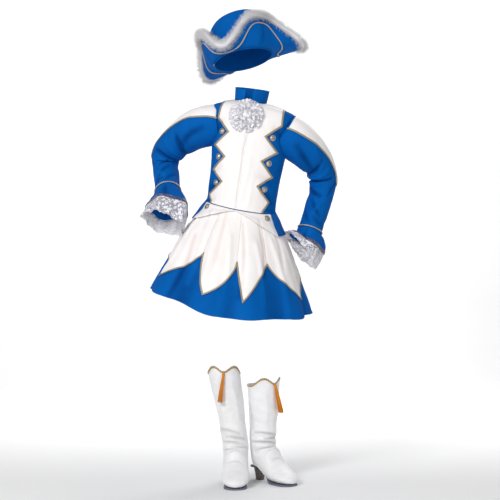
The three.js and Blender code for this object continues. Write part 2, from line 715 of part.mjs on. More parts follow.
function makePetals() {
  const satin = wall(skirtGrid, ON_CLOTH, ON_CLOTH + SATIN, DOWN_RING);
  const gap = 0.27;
  PETALS.forEach((petal, i) => {
    const before = steps(petal.start + 3, petal.tip, 2);
    const after = steps(petal.tip, petal.end - 3, 2).slice(1);
    const columns = [petal.start - 3, petal.start + gap, ...before, ...after, petal.end - gap, petal.end + 3];
    const spot = (u, t) => skirt(u, lerp(PETAL_TOP, petalEdge(petal, u), t));
    const grid = steps(0, 1, 2).map((t) => columns.map((u) => spot(u, t)));
    const cutter = wall(grid, CUT_IN, CUT_OUT, { facing: -1, lapped: true });
    addPiece(`petal_${i + 1}`, satin.intersect(cutter), "satin", upperBody);
  });
  const path = PETALS.flatMap((petal) => {
    const line = (u) => petalEdge(petal, u);
    const spaced = skirtFacets
      .creases(line, petal.start, petal.end)
      .filter((u) => [petal.start, petal.tip, petal.end].every((corner) => Math.abs(u - corner) > 0.8));
    const us = [petal.start, petal.tip, ...spaced].sort((a, b) => a - b);
    return us.map((u) => new THREE.Vector2(u * SKIRT_AROUND, line(u) * SKIRT_ALONG));
  });
  const whole = 360 * SKIRT_AROUND;
  const before = path.at(-1).clone().setX(path.at(-1).x - whole);
  const after = path[0].clone().setX(path[0].x + whole);
  const wrapped = [before, ...path, after];
  const edges = ribbon(wrapped, PETAL_BRAID_WIDTH).map((edge) => edge.slice(1, -1));
  const strip = edges.map((edge) => edge.map((p) => skirtFacets.spot(p.x / SKIRT_AROUND, p.y / SKIRT_ALONG)));
  const low = ON_SATIN + BRAID_LIFT;
  addPiece("petal_braid", wall(strip, low, low + BRAID, RING), "gold", upperBody);
}

// White points turned back at the waist, each with a button, and the plain blue tail behind.
const TURNBACK = {
  top: 0.022,
  start: 1.5,
  corner: 65,
  thin: 0.035,
  deep: 0.235,
  button: 54,
  buttonDrop: 0.06,
};
const TAIL_DROP = 0.22;
const ON_SKIRT = ON_SATIN + 0.3; // the waist pieces hang outside the petals

function makeTurnbacks() {
  const hung = (us, reach, facing) => {
    const grid = [0, 0.5, 1].map((t) => us.map((u) => skirtFacets.spot(u, lerp(TURNBACK.top, reach(u), t))));
    return wall(grid, ON_SKIRT, ON_SKIRT + CLOTH, { facing });
  };
  for (const side of SIDES) {
    const folds = steps(7.5, 60, 7);
    const columns = [TURNBACK.start, ...folds, TURNBACK.corner].map((u) => u * side.sign);
    const reach = (u) => {
      const t = (Math.abs(u) - TURNBACK.start) / (TURNBACK.corner - TURNBACK.start);
      return lerp(TURNBACK.thin, TURNBACK.deep, t ** 1.3);
    };
    addPiece(`turnback_${side.name}`, hung(columns, reach, -side.sign), "satin", upperBody);
    const angle = side.sign * TURNBACK.button;
    const spot = skirt(angle, TURNBACK.buttonDrop);
    const along = skirt(angle + 1, TURNBACK.buttonDrop).sub(skirt(angle - 1, TURNBACK.buttonDrop));
    const down = skirt(angle, TURNBACK.buttonDrop + 0.02).sub(skirt(angle, TURNBACK.buttonDrop - 0.02));
    const out = down.cross(along).normalize();
    const made = buttonSolid(spot, out, ON_SKIRT + CLOTH + BUTTON_LIFT);
    addPiece(`button_${side.name}_4`, made, "button", upperBody);
  }
  const gap = 0.3;
  const round = steps(67.5, 292.5, 30);
  const columns = [TURNBACK.corner + gap, ...round, 360 - TURNBACK.corner - gap];
  addPiece("jacket_tail", hung(columns, () => TAIL_DROP, -1), "blue", upperBody);
}

// The hat: a tricorn with its points in front and at both sides behind.
const HAT = { x: -41, y: 0, z: 173, turn: -22, tilt: -12, pitch: -12 };
const CROWN_RADIUS = 100;
const CROWN_SECTIONS = [
  { z: -4, radius: 100, shift: 0 },
  { z: 35, radius: 103, shift: 0 },
  { z: 75, radius: 104, shift: 2 },
  { z: 112, radius: 98, shift: 7 },
  { z: 139, radius: 80, shift: 14 },
  { z: 153, radius: 50, shift: 22 },
  { z: 158, radius: 16, shift: 27 },
];
const BRIM = {
  point: { reach: [140, 204, 194], rise: 6 }, // the front point, then the left and right ones
  flap: { reach: 129, rise: 94 },
};
const FUR_RADIUS = 17;
const FUR_SIDES = 6;
// The cord rises over each flap and dips towards the head at the points
const HAT_CORD = { low: 0.12, high: 0.87, half: 0.018, lift: 1.3, height: 3.3 };
const HAT_COLUMNS = turns(36);
const BRIM_PLACES = [0, 0.35, 0.7, 1];

// A point of the side of the brim that shows when it is turned up. place is 0 at the crown, 1 at the edge.
function brim(angle, place) {
  const near = Math.cos(degToRad(1.5 * angle)) ** 2;
  const sector = angle > 60 ? 1 : angle < -60 ? 2 : 0;
  const reach = lerp(BRIM.flap.reach, BRIM.point.reach[sector], near ** 2.2);
  const rise = lerp(BRIM.flap.rise, BRIM.point.rise, near ** 1.7);
  const bend = (Math.PI / 2) * place;
  const r = lerp(CROWN_RADIUS + 2.4, reach, Math.sin(bend));
  return point(r * sine(angle), -r * cosine(angle), rise * (1 - Math.cos(bend)));
}

function makeHat() {
  const hat = new THREE.Group();
  hat.position.set(HAT.x, HAT.y, HAT.z);
  hat.rotation.set(degToRad(HAT.pitch), degToRad(HAT.tilt), degToRad(HAT.turn), "YXZ");
  costume.add(hat);
  const dome = (u, v) => {
    const s = section(CROWN_SECTIONS, v);
    return point(s.shift + s.radius * sine(u), -s.radius * cosine(u), s.z);
  };
  const crown = rows(dome, turns(20), [0, 2, 3.2, 4.2, 5.2, 6].map((row) => row / 6));
  addPiece("hat_crown", wall(crown, -CLOTH, 0, { ring: true, capped: true }), "blue", hat);
  const flat = rows(brim, HAT_COLUMNS, BRIM_PLACES);
  addPiece("hat_brim", wall(flat, -CLOTH, 0, RING), "blue", hat);
  const lip = HAT_COLUMNS.map((u) => brim(u, 1).add(brim(u, 1).sub(brim(u, 0.93)).setLength(1)));
  const clear = wall([...flat, lip], -CLOTH - 2 * SEAM, 2 * SEAM, RING);
  addPiece("hat_fur", filledTube(furPath(), FUR_SIDES, FUR_RADIUS).subtract(clear), "fur", hat);
  const cordAt = (u) => lerp(HAT_CORD.high, HAT_CORD.low, Math.abs(cosine(1.5 * u)) ** 3);
  const facets = faceted(flat, HAT_COLUMNS, BRIM_PLACES);
  const spaced = facets.creases(cordAt, -180, 180).filter((u, i, all) => i === 0 || u - all[i - 1] > 1);
  const band = [-1, 1].map((edge) => spaced.map((u) => facets.spot(u, cordAt(u) + edge * HAT_CORD.half)));
  addPiece("hat_cord", wall(band, HAT_CORD.lift, HAT_CORD.height, RING), "cord", hat);
}

// The middle of the fur, just beyond the brim's edge.
function furPath() {
  return HAT_COLUMNS.map((u) => {
    const edge = brim(u, 1);
    const beyond = edge.clone().sub(brim(u, 0.6)).normalize();
    return edge.addScaledVector(beyond, FUR_RADIUS + SEAM);
  });
}

// A closed tube of a few sides round a closed path.
function filledTube(path, sides, radius) {
  const n = path.length;
  const points = [];
  const faces = [];
  path.forEach((p, i) => {
    const along = path[(i + 1) % n].clone().sub(path[(i + n - 1) % n]).normalize();
    const up = point(0, 0, 1).addScaledVector(along, -along.z).normalize();
    const out = along.clone().cross(up);
    for (let k = 0; k < sides; k++) {
      const turn = (2 * Math.PI * k) / sides;
      const raised = p.clone().addScaledVector(up, radius * Math.sin(turn));
      points.push(raised.addScaledVector(out, radius * Math.cos(turn)));
    }
  });
  const at = (i, k) => (i % n) * sides + (k % sides);
  for (let i = 0; i < n; i++)
    for (let k = 0; k < sides; k++)
      faces.push([at(i, k), at(i + 1, k), at(i + 1, k + 1)], [at(i, k), at(i + 1, k + 1), at(i, k + 1)]);
  return solid(points, faces);
}

// Boots. y and z are the middle of a section, wide and long its half sizes, tilt its slope from level.
const BOOT_SECTIONS = [
  { y: 0, z: 385, wide: 55, long: 58, tilt: 0 },
  { y: 0, z: 330, wide: 52, long: 56, tilt: 0 },
  { y: 1, z: 270, wide: 49, long: 54, tilt: 0 },
  { y: 3, z: 215, wide: 45, long: 50, tilt: 0 },
  { y: 4, z: 165, wide: 44, long: 48, tilt: 0 },
  { y: 3, z: 125, wide: 43, long: 48, tilt: 5 },
  { y: -4, z: 92, wide: 42, long: 54, tilt: 28 },
  { y: -24, z: 72, wide: 43, long: 58, tilt: 52 },
  { y: -55, z: 52, wide: 44, long: 46, tilt: 72 },
  { y: -90, z: 36, wide: 47, long: 32, tilt: 84 },
  { y: -122, z: 27, wide: 44, long: 23, tilt: 90 },
  { y: -148, z: 21, wide: 31, long: 15, tilt: 90 },
  { y: -160, z: 18, wide: 12, long: 8, tilt: 90 },
];
const BOOTS = [
  { name: "right", x: -66, y: 28, turn: 0, lean: 0.155, shaft: 1, slouch: 2, hang: [-13, 0] },
  { name: "left", x: 30, y: 66, turn: 38, lean: 0, shaft: 0.83, slouch: 5, hang: [20, 4] },
];
const ANKLE = 125; // the shaft leans, and sinks, above this height
const SOLE = { thick: 5, heel: 46, back: 46, toe: -160 };
const ARCH = [
  { y: -160, z: 0 },
  { y: -84, z: 0 },
  { y: -64, z: 7 },
  { y: -34, z: 33 },
  { y: -12, z: 46 },
  { y: 60, z: 46 },
];
const TOP_EDGE = { lobe: 17, dip: -4, side: -11 }; // the front's two lobes, the notch between them, the sides
const BOOT_SLOUCH = [
  { z: 178, width: 13 },
  { z: 150, width: 10 },
  { z: 122, width: 9 },
];
const BOOT_BRAID_WIDTH = 8;

// The underside of a boot's sole, at a distance behind the ankle's middle.
function soleHeight(y) {
  const next = ARCH.findIndex((spot) => spot.y >= y);
  if (next < 1) return next < 0 ? ARCH.at(-1).z : ARCH[0].z;
  const [a, b] = [ARCH[next - 1], ARCH[next]];
  return lerp(a.z, b.z, (y - a.y) / (b.y - a.y));
}

function bootTop(angle) {
  const from = Math.abs(angle);
  const lobe = TOP_EDGE.lobe * Math.exp(-(((from - 38) / 26) ** 2));
  return TOP_EDGE.dip * Math.exp(-((from / 16) ** 2)) + lobe + TOP_EDGE.side * smoothstep(from, 50, 95);
}

// A point of a boot's outside, with the ankle's middle over the origin. angle runs from the front.
function boot(kind, angle, place) {
  const s = section(BOOT_SECTIONS, place);
  const above = Math.max(0, s.z - ANKLE);
  const slouch = BOOT_SLOUCH.reduce((sum, fold) => sum + Math.exp(-(((s.z - fold.z) / fold.width) ** 2)), 0);
  const swell = kind.slouch * slouch * (place < 0.5 ? 1 : 0) * (0.6 + 0.4 * cosine(angle * 2 + 60));
  const across = (s.wide + swell) * sine(angle);
  const ahead = (s.long + swell) * cosine(angle);
  const top = bootTop(angle) * (1 - clamp(place * 6, 0, 1));
  const height = s.z - above * (1 - kind.shaft) + ahead * sine(s.tilt) + top;
  const y = s.y - ahead * cosine(s.tilt);
  const floor = soleHeight(y) + SOLE.thick * 1.35;
  return point(across - kind.lean * above, y, Math.max(height, floor));
}

function makeBoot(kind) {
  const group = new THREE.Group();
  group.position.set(kind.x, kind.y, FLOOR);
  group.rotation.z = degToRad(kind.turn);
  costume.add(group);
  const on = (u, v) => boot(kind, u, v);
  const columns = turns(14);
  const count = BOOT_SECTIONS.length - 1;
  const places = [0, 2, 3.5, 4, 4.5, 5, 6, 7, 8, 9.5, 11, 12].map((row) => row / count);
  const upper = wall(rows(on, columns, places), -CLOTH, 0, { ring: true, facing: -1, capped: true });
  const lasted = upper.subtract(wall(soleGrid(2 * SEAM), -SEAM, SOLE.thick + 2 * SEAM));
  addPiece(`boot_${kind.name}_upper`, lasted, "white", group);
  const band = rows(on, columns, [0.0005, BOOT_BRAID_WIDTH / 55 / count]);
  addPiece(`boot_${kind.name}_braid`, wall(band, ON_CLOTH, ON_CLOTH + BRAID, DOWN_RING), "gold", group);
  makeSole(kind, group);
  makeTassel(kind, group);
}

// The sole's underside follows the foot from the toe over the arch to the heel. A margin widens it all round.
function soleGrid(margin = 0) {
  const { back, toe } = SOLE;
  const lengthways = [toe, toe + 14, toe + 34, -104, -84, -64, -34, -12, 20, back - 8, back];
  const half = (y) => {
    const roundToe = Math.sqrt(clamp(1 - ((toe - 1 - y) / 42 + 1) ** 2, 0.02, 1));
    const roundBack = Math.sqrt(clamp(1 - ((y - back + 21) / 22) ** 2, 0.02, 1));
    const waist = 1 - 0.3 * Math.exp(-(((y + 30) / 34) ** 2));
    const ends = (y < toe + 41 ? roundToe : 1) * (y > back - 21 ? roundBack : 1);
    return 39 * ends * waist * (y > -60 ? 0.88 : 1);
  };
  const last = lengthways.length - 1;
  return lengthways.map((y, i) => {
    const longer = i === 0 ? -margin : i === last ? margin : 0;
    return steps(-1, 1, 4).map((t) => point(t * (half(y) + margin), y + longer, soleHeight(y)));
  });
}

// The heel block stands under the sole.
function makeSole(kind, group) {
  const { thick, heel } = SOLE;
  addPiece(`boot_${kind.name}_sole`, wall(soleGrid(), 0, thick), "sole", group);
  const block = (u, t) => {
    const size = lerp(0.66, 1, t ** 1.6);
    return point(23 * size * sine(u), 20 - 21 * size * cosine(u), (heel - SEAM) * t);
  };
  addPiece(`boot_${kind.name}_heel`, filled(rows(block, turns(12), [0, 0.4, 1])), "heel", group);
}

// A tassel hangs from the notch of a boot's top: strands fused in one head.
const TASSEL = { strands: 10, length: 92, head: 5.5, headLength: 11, strand: 1.7, clear: 4.9 };

function makeTassel(kind, group) {
  const { strands, length, head, headLength, strand, clear } = TASSEL;
  const top = boot(kind, 0, 0);
  const start = top.clone().add(point(0, -clear, -4));
  const end = start.clone().add(point(kind.hang[0], -6 - kind.hang[1], -headLength - length));
  const down = end.clone().sub(start).normalize();
  const turn = new THREE.Quaternion().setFromUnitVectors(point(0, -1, 0), down);
  const set = (geometry, along, x, z) => {
    const place = start.clone().addScaledVector(down, along).add(point(x, 0, z).applyQuaternion(turn));
    return solidOf(geometry.applyQuaternion(turn).translate(place.x, place.y, place.z));
  };
  let whole = set(new THREE.CylinderGeometry(head * 0.5, head, headLength, 8), headLength / 2, 0, 0);
  for (let i = 0; i < strands; i++) {
    const spread = i < 5 ? 1.9 : 4.2;
    const angle = i < 5 ? (i / 5) * 360 : ((i - 5) / (strands - 5)) * 360;
    const run = length * (1 - 0.06 * ((i * 7) % 5) / 5);
    const piece = new THREE.CylinderGeometry(strand * 0.75, strand, run, 3);
    whole = whole.add(set(piece, headLength - 2 + run / 2, spread * cosine(angle), spread * sine(angle)));
  }
  addPiece(`boot_${kind.name}_tassel`, whole, "tassel", group);
}

makeJacketBody();
makePlastron();
makeCollar();
makeButtons();
makeSleeves();
makeJabot();
makeSkirt();
makePetals();
makeTurnbacks();
makeHat();
BOOTS.forEach(makeBoot);

export default costume;
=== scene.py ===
"""Cloth, satin, fur, lace, braid and leather for a majorette costume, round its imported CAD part.

Shapes are worked out in millimetres in the frame of the group that a piece belongs to, which is the
leaning upper body, the hat or one of the boots, and are then placed in the part's frame in metres."""

import math
import random

import bmesh
import bpy
import numpy as np
from mathutils import Matrix, Vector, noise


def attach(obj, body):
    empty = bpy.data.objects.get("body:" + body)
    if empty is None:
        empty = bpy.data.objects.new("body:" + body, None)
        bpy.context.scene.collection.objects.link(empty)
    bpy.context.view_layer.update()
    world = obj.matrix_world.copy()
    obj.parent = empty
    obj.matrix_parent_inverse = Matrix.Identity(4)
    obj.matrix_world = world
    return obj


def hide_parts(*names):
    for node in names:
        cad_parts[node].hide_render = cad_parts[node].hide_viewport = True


bl_info = {
    "name": "Majorette costume",
    "version": (1, 0, 0),
    "blender": (4, 5, 0),
    "location": "3D View > Sidebar > Costume",
    "description": "Cloth, satin, fur, lace, braid and leather for a majorette costume",
    "category": "Object",
}

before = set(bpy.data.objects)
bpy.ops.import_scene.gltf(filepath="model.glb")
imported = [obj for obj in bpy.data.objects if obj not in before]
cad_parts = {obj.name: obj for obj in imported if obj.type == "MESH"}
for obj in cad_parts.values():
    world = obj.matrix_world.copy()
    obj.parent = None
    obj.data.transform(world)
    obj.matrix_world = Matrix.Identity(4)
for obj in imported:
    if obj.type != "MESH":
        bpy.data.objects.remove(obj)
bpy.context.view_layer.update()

# Where the groups of pieces stand, in millimetres

MILLIMETRE = 0.001
FLOOR = -1270
SIDES = (("right", -1), ("left", 1))


def turned(degrees, axis):
    return Matrix.Rotation(math.radians(degrees), 4, axis)


UPPER_BODY = turned(8.7, "Y") @ turned(-9, "Z")
HAT = Matrix.Translation((-41, 0, 173)) @ turned(-12, "Y") @ turned(-12, "X") @ turned(-22, "Z")
BOOTS = {
    "right": {"x": -66, "y": 28, "turn": 0, "lean": 0.155, "shaft": 1.0, "slouch": 2, "hang": (-13, 0)},
    "left": {"x": 30, "y": 66, "turn": 38, "lean": 0.0, "shaft": 0.83, "slouch": 5, "hang": (20, 4)},
}

# Heights of the layers of cloth over the garment's outside, and their thicknesses
CLOTH = 1.8
SATIN = 1.2
ON_CLOTH = 0.3
ON_SATIN = 1.8
ON_SKIRT = 2.1
BRAID = 1.2
# Widths of the braids and of the band over the lace
FRONT_BRAID = 7
SHOULDER_BRAID = 6
PETAL_BRAID = 5.5
HEADING_WIDTH = 13

# The looks of the pieces: material and slot
BLUE = ("blue cloth", "blue_cloth")
WHITE = ("white satin", "white_satin")
LINING = ("white satin", "white_lining")
LEATHERED = ("white leather", "white_leather")
ANTIQUE_BRAID = ("antique braid", "gold_braid")
BOOT_GOLD = ("boot gold", "gold_braid")
BOOT_SILVER = ("boot silver", "gold_braid")
CORD = ("gold cord", "cord")
LACE = ("open lace", "lace")
HEADING = ("lace heading", "lace")
KNOT = ("white satin", "lace")
FUR = ("feather fur", "fur")
METAL = ("button metal", "button_metal")
SOLE = ("stacked sole", "sole")
HEEL = ("heel block", "heel")
SILK = ("silk tassel", "tassel")

# Vertices nearer than this are one, in millimetres
SAME_SPOT = 0.01
# A shaped piece's flat cut is at most this many times as wide as its area over its length
WIDEST_CUT = 2.2
# A pitch so long that a trim has no notches
PLAIN = 1e6
GOLDEN_ANGLE = 2.39996
# A fold of this depth gets the whole painted shade of a fold, in millimetres
FULL_FOLD_SHADE = 5
# The scale of the slight unevenness of cloth, for each millimetre
RIPPLE_SCALE = 0.03


# What a user would change


def colour_property(name, description, default):
    return bpy.props.FloatVectorProperty(
        name=name, description=description, default=default, subtype="COLOR", size=3, min=0, max=1
    )


def length_property(name, description, millimetres):
    return bpy.props.FloatProperty(
        name=name, description=description, default=millimetres * MILLIMETRE, min=0, unit="LENGTH"
    )


def share_property(name, description, default):
    return bpy.props.FloatProperty(name=name, description=description, default=default, min=0, soft_max=2)


class CostumeColours(bpy.types.PropertyGroup):
    """The colours of the cloth and the trims."""

    blue: colour_property("Blue cloth", "Jacket, skirt and hat", (0.0008, 0.114, 0.44))
    # Painted shade: the darker blue that the cloth's colour turns to deep in its folds
    blue_painted_shade: colour_property("Blue in the folds", "Where the blue cloth turns away", (0.0005, 0.050, 0.22))
    satin: colour_property("White satin", "Front, petals and turnbacks", (0.94, 0.925, 0.915))
    # Painted shade: the warm, darker white that the satin's colour turns to deep in its folds
    satin_painted_shade: colour_property("Satin in the folds", "Where the satin turns away", (0.80, 0.69, 0.66))
    leather: colour_property("White leather", "Uppers of the boots", (0.93, 0.925, 0.93))
    fur: colour_property("Fur", "Tips of the feather trim", (1.0, 0.99, 1.0))
    # Painted shade: the greyer, violet white towards the roots of the fur
    fur_root_shade: colour_property("Fur roots", "Depth of the feather trim", (0.93, 0.90, 0.98))
    lace: colour_property("Lace", "Cuff frills and the jabot", (0.93, 0.92, 0.94))
    braid: colour_property("Antique gold", "Flat braid along the edges", (0.58, 0.49, 0.33))
    cord: colour_property("Pale gold", "Cord of the hat and the sleeves", (0.88, 0.72, 0.50))
    button: colour_property("Button metal", "Domed buttons", (0.62, 0.57, 0.48))
    boot_silver: colour_property("Boot silver", "Braid on the edge of the boots", (0.70, 0.69, 0.68))
    boot_gold: colour_property("Boot gold", "Line under the braid of the boots", (0.80, 0.46, 0.02))
    tassel: colour_property("Tassel", "Silk strands on the boots", (0.76, 0.25, 0.001))
    sole: colour_property("Sole", "Edge and underside of the soles", (0.09, 0.10, 0.14))
    heel: colour_property("Heel", "Heel blocks", (0.11, 0.09, 0.085))
    heading: colour_property("Lace heading", "Band over the cuff frills", (0.055, 0.05, 0.13))


class CostumeSizes(bpy.types.PropertyGroup):
    """The sizes of the details."""

    crease: share_property("Creases", "Depth of the creases, as a share of that built in", 0.8)
    ripple: length_property("Ripple", "Slight unevenness of every cloth", 0.5)
    fur_length: length_property("Fur length", "Barbs of the feather trim", 22)
    fur_barbs: bpy.props.IntProperty(
        name="Fur barbs", description="Barbs round the hat", default=16000, min=500
    )
    hole: length_property("Lace hole", "Width of the holes of the net", 4.4)
    braid_pitch: length_property("Braid pitch", "Length of one plait of the flat braid", 3.4)
    cord_pitch: length_property("Cord pitch", "Length of one turn of the twisted cord", 7)


# Shapes of the garment


def section(table, place):
    """The columns of a table on a smooth curve: place is 0 at its first row and 1 at its last."""
    rows = np.asarray(table, float)
    last = len(rows) - 1
    at = np.clip(np.asarray(place, float), 0, 1) * last
    first = np.minimum(at.astype(int), last - 1)
    t = (at - first)[..., None]
    a, b, c, d = (rows[np.clip(first + k, 0, last)] for k in (-1, 0, 1, 2))
    bend = 2 * a - 5 * b + 4 * c - d
    twist = 3 * (b - c) + d - a
    return np.moveaxis(b + 0.5 * t * (c - a + t * (bend + t * twist)), -1, 0)


def unit(vectors):
    return vectors / np.maximum(np.linalg.norm(vectors, axis=-1, keepdims=True), 1e-9)


def mix(a, b, t):
    return a + (b - a) * t


def as_arrays(angle, place):
    """An angle and a place as arrays of one shape."""
    return np.broadcast_arrays(np.asarray(angle, float), np.asarray(place, float))


def smooth(x, low, high):
    t = np.clip((np.asarray(x, float) - low) / (high - low), 0, 1)
    return t * t * (3 - 2 * t)


def hill(x, middle, width):
    return np.exp(-(((x - middle) / width) ** 2))


def crease_field(creases, around, along):
    """How far the creases move a cloth at (u, v). Each has two ends (u, v), a width and a depth."""

    def field(u, v):
        moved = np.zeros(np.broadcast(u, v).shape)
        for u1, v1, u2, v2, width, depth in creases:
            middle = (u1 + u2) / 2
            wrapped = (u - middle + 180) % 360 - 180 + middle
            x, y = (wrapped - u1) * around, (v - v1) * along
            dx, dy = (u2 - u1) * around, (v2 - v1) * along
            reach = math.hypot(dx, dy)
            run = (x * dx + y * dy) / reach
            t = np.clip(run / reach, 0, 1)
            aside = (y * dx - x * dy) / reach + 0.05 * reach * np.sin(math.pi * t)
            away = np.hypot(aside, run - t * reach)
            fade = 0.55 + 0.45 * np.sin(math.pi * np.clip(t, 0.05, 0.95))
            moved += depth * fade * np.exp(-((away / width) ** 2))
        return moved * bpy.context.scene.costume_sizes.crease

    return field


class Surface:
    """A smooth surface in millimetres. facing is 1 where its normal is that of u and v, creases is how far
    the cloth on it stands off at (u, v), and folds is the depth of the folds that its points already have."""

    def __init__(self, point, facing, creases=None, folds=None):
        self.point = point
        self.facing = facing
        self.creases = creases
        self.folds = folds

    def hollow(self, u, v):
        """How deep in a fold (u, v) lies, from 0 to 1: the share of painted shade that the cloth's colour
        gets there.
        """
        depth = np.zeros(np.broadcast(u, v).shape)
        if self.creases:
            depth = depth - self.creases(u, v)
        if self.folds:
            depth = depth - 0.3 * self.folds(u, v)
        return np.clip(depth / FULL_FOLD_SHADE, 0, 1)

    def out(self, u, v):
        along = self.point(u + 0.5, v) - self.point(u - 0.5, v)
        down = self.point(u, v + 0.004) - self.point(u, v - 0.004)
        return unit(np.cross(along, down) * self.facing)

    def at(self, u, v, lift=0.0):
        off = np.full(np.broadcast(u, v).shape, float(lift))
        if self.creases:
            off = off + self.creases(u, v)
        return self.point(u, v) + self.out(u, v) * off[..., None]


# The upper body, from the waist up to the neck: height, half width, half depth, shift, share of the slope
BODY_SECTIONS = [
    (-330, 120, 93, 2, 1),
    (-310, 118, 92, 2, 0.8),
    (-274, 119, 94, 1, 0.4),
    (-232, 120, 97, 1, 0.1),
    (-190, 123, 100, 1, 0),
    (-150, 127, 102, 0, 0),
    (-110, 132, 100, 0, 0),
    (-70, 140, 95, 0, 0),
    (-36, 148, 88, 0, 0),
    (-13, 150, 79, -1, 0),
    (1, 137, 72, -3, 0.1),
    (11, 110, 66, -7, 0.3),
    (19, 80, 59, -13, 0.6),
    (25, 55, 52, -19, 1),
]
WAIST_SLOPE = 0.17
WAIST_TILT = 0.05
WAISTBAND_TOP = 0.8 / 13


def body_point(angle, place):
    z, across, deep, shift, slope = section(BODY_SECTIONS, place)
    turn = np.radians(angle)
    x = shift + across * np.sin(turn)
    y = -deep * np.cos(turn)
    tilt = np.where(np.asarray(place) < 0.5, x * WAIST_TILT, 0)
    return np.stack([x, y, z + (y * WAIST_SLOPE - tilt) * slope], -1)


# Creases of the jacket, by angle from the front and place from the waist: from, to, width, depth
JACKET_CREASES = [
    (70, 0.10, 40, 0.16, 9, -4.8),
    (62, 0.20, 30, 0.24, 8, -3.5),
    (75, 0.02, 50, 0.05, 7, -3.8),
    (-72, 0.12, -38, 0.18, 9, -4.5),
    (-66, 0.03, -44, 0.06, 7, -3.8),
    (-60, 0.24, -36, 0.27, 7, -2.9),
    (68, 0.44, 38, 0.56, 9, -4.8),
    (-68, 0.44, -40, 0.57, 9, -4.8),
    (-20, 0.03, -12, 0.22, 7, 2.6),
    (16, 0.02, 20, 0.24, 7, 2.6),
    (6, 0.10, 9, 0.42, 9, 2.4),
    (-12, 0.25, -8, 0.48, 9, 2.2),
    (110, 0.08, 150, 0.12, 9, -4.2),
    (-112, 0.10, -155, 0.13, 9, -4.2),
    (120, 0.22, 160, 0.20, 8, -2.9),
    (-125, 0.24, -165, 0.22, 8, -2.9),
    (118, 0.46, 150, 0.60, 10, -4.8),
    (-118, 0.46, -150, 0.60, 10, -4.8),
    (176, 0.05, 184, 0.45, 8, -2.2),
]
BODY = Surface(body_point, 1, crease_field(JACKET_CREASES, 2.2, 380))


def angle_across(x, place):
    """The angle on the front of the body at a distance from its middle."""
    _, across, _, shift, _ = section(BODY_SECTIONS, place)
    return np.degrees(np.arcsin(np.clip((x - shift) / across, -1, 1)))


def body_place(x, z):
    """The angle and place on the front of the body that lie at (x, z)."""
    x, z = np.asarray(x, float), np.asarray(z, float)
    low, high = np.zeros(x.shape), np.ones(x.shape)
    for _ in range(26):
        middle = (low + high) / 2
        under = body_point(angle_across(x, middle), middle)[..., 2] < z
        low, high = np.where(under, middle, low), np.where(under, high, middle)
    place = (low + high) / 2
    return angle_across(x, place), place


# Arms: the middle of the sleeve, its half size across the arm as seen from the front, and in depth
ARMS = {
    "right": [
        (-112, -6, -66, 68, 56),
        (-150, -4, -76, 70, 60),
        (-204, 14, -98, 67, 58),
        (-258, 52, -138, 60, 54),
        (-298, 84, -188, 53, 50),
        (-295, 84, -232, 47, 48),
        (-276, 46, -280, 44, 46),
        (-257, 4, -320, 44, 46),
        (-245, -20, -347, 58, 56),
        (-238, -42, -373, 70, 66),
        (-236, -62, -402, 72, 69),
        (-239, -79, -430, 74, 70),
    ],
    "left": [
        (112, -6, -62, 68, 56),
        (150, 4, -82, 70, 60),
        (196, 38, -112, 64, 57),
        (232, 82, -148, 55, 52),
        (252, 112, -192, 49, 49),
        (252, 112, -250, 45, 47),
        (247, 98, -314, 42, 46),
        (239, 78, -376, 42, 46),
        (238, 75, -400, 54, 54),
        (235, 72, -418, 66, 62),
        (226, 66, -434, 74, 66),
        (215, 60, -447, 80, 68),
    ],
}
ARM_STEPS = 11
CUFF_STARTS = 7 / ARM_STEPS
LACE_STARTS = 9 / ARM_STEPS
ELBOW_FOLDS = ((3.2 / ARM_STEPS, 5), (4 / ARM_STEPS, 8), (5 / ARM_STEPS, 6))
ARMHOLE_MARGIN = 16
# How far a sleeve starts inside the body, as a share of the arm
SLEEVE_TUCK = 0.022


def arm_frame(side, place):
    """The middle of an arm, the directions across it and in depth, and its half sizes."""
    table = ARMS[side]
    here = np.moveaxis(section(table, place), 0, -1)
    before = np.moveaxis(section(table, np.asarray(place) - 0.02), 0, -1)
    after = np.moveaxis(section(table, np.asarray(place) + 0.02), 0, -1)
    along = unit((after - before)[..., :3])
    outer = unit(np.cross(np.array([0.0, -1.0, 0.0]), along) * dict(SIDES)[side])
    return here[..., :3], along, outer, np.cross(along, outer), here[..., 3], here[..., 4]


def arm_point(side):
    def point(angle, place):
        angle, place = as_arrays(angle, place)
        middle, _, outer, around, across, deep = arm_frame(side, place)
        turn = np.radians(angle)
        cuff = smooth(place, CUFF_STARTS, LACE_STARTS)
        frill = smooth(place, LACE_STARTS, 1)
        inside = np.maximum(0, -np.cos(turn)) ** 1.5
        elbow = sum(depth * hill(place, spot, 0.03) for spot, depth in ELBOW_FOLDS)
        wave = cuff * 5 * np.cos(np.radians(5 * angle + 40)) + frill * 5 * np.cos(10 * turn)
        swell = wave - elbow * inside
        reach = (across + swell) * np.cos(turn)
        depth = (deep + swell) * np.sin(turn)
        return middle + outer * reach[..., None] + around * depth[..., None]

    return point


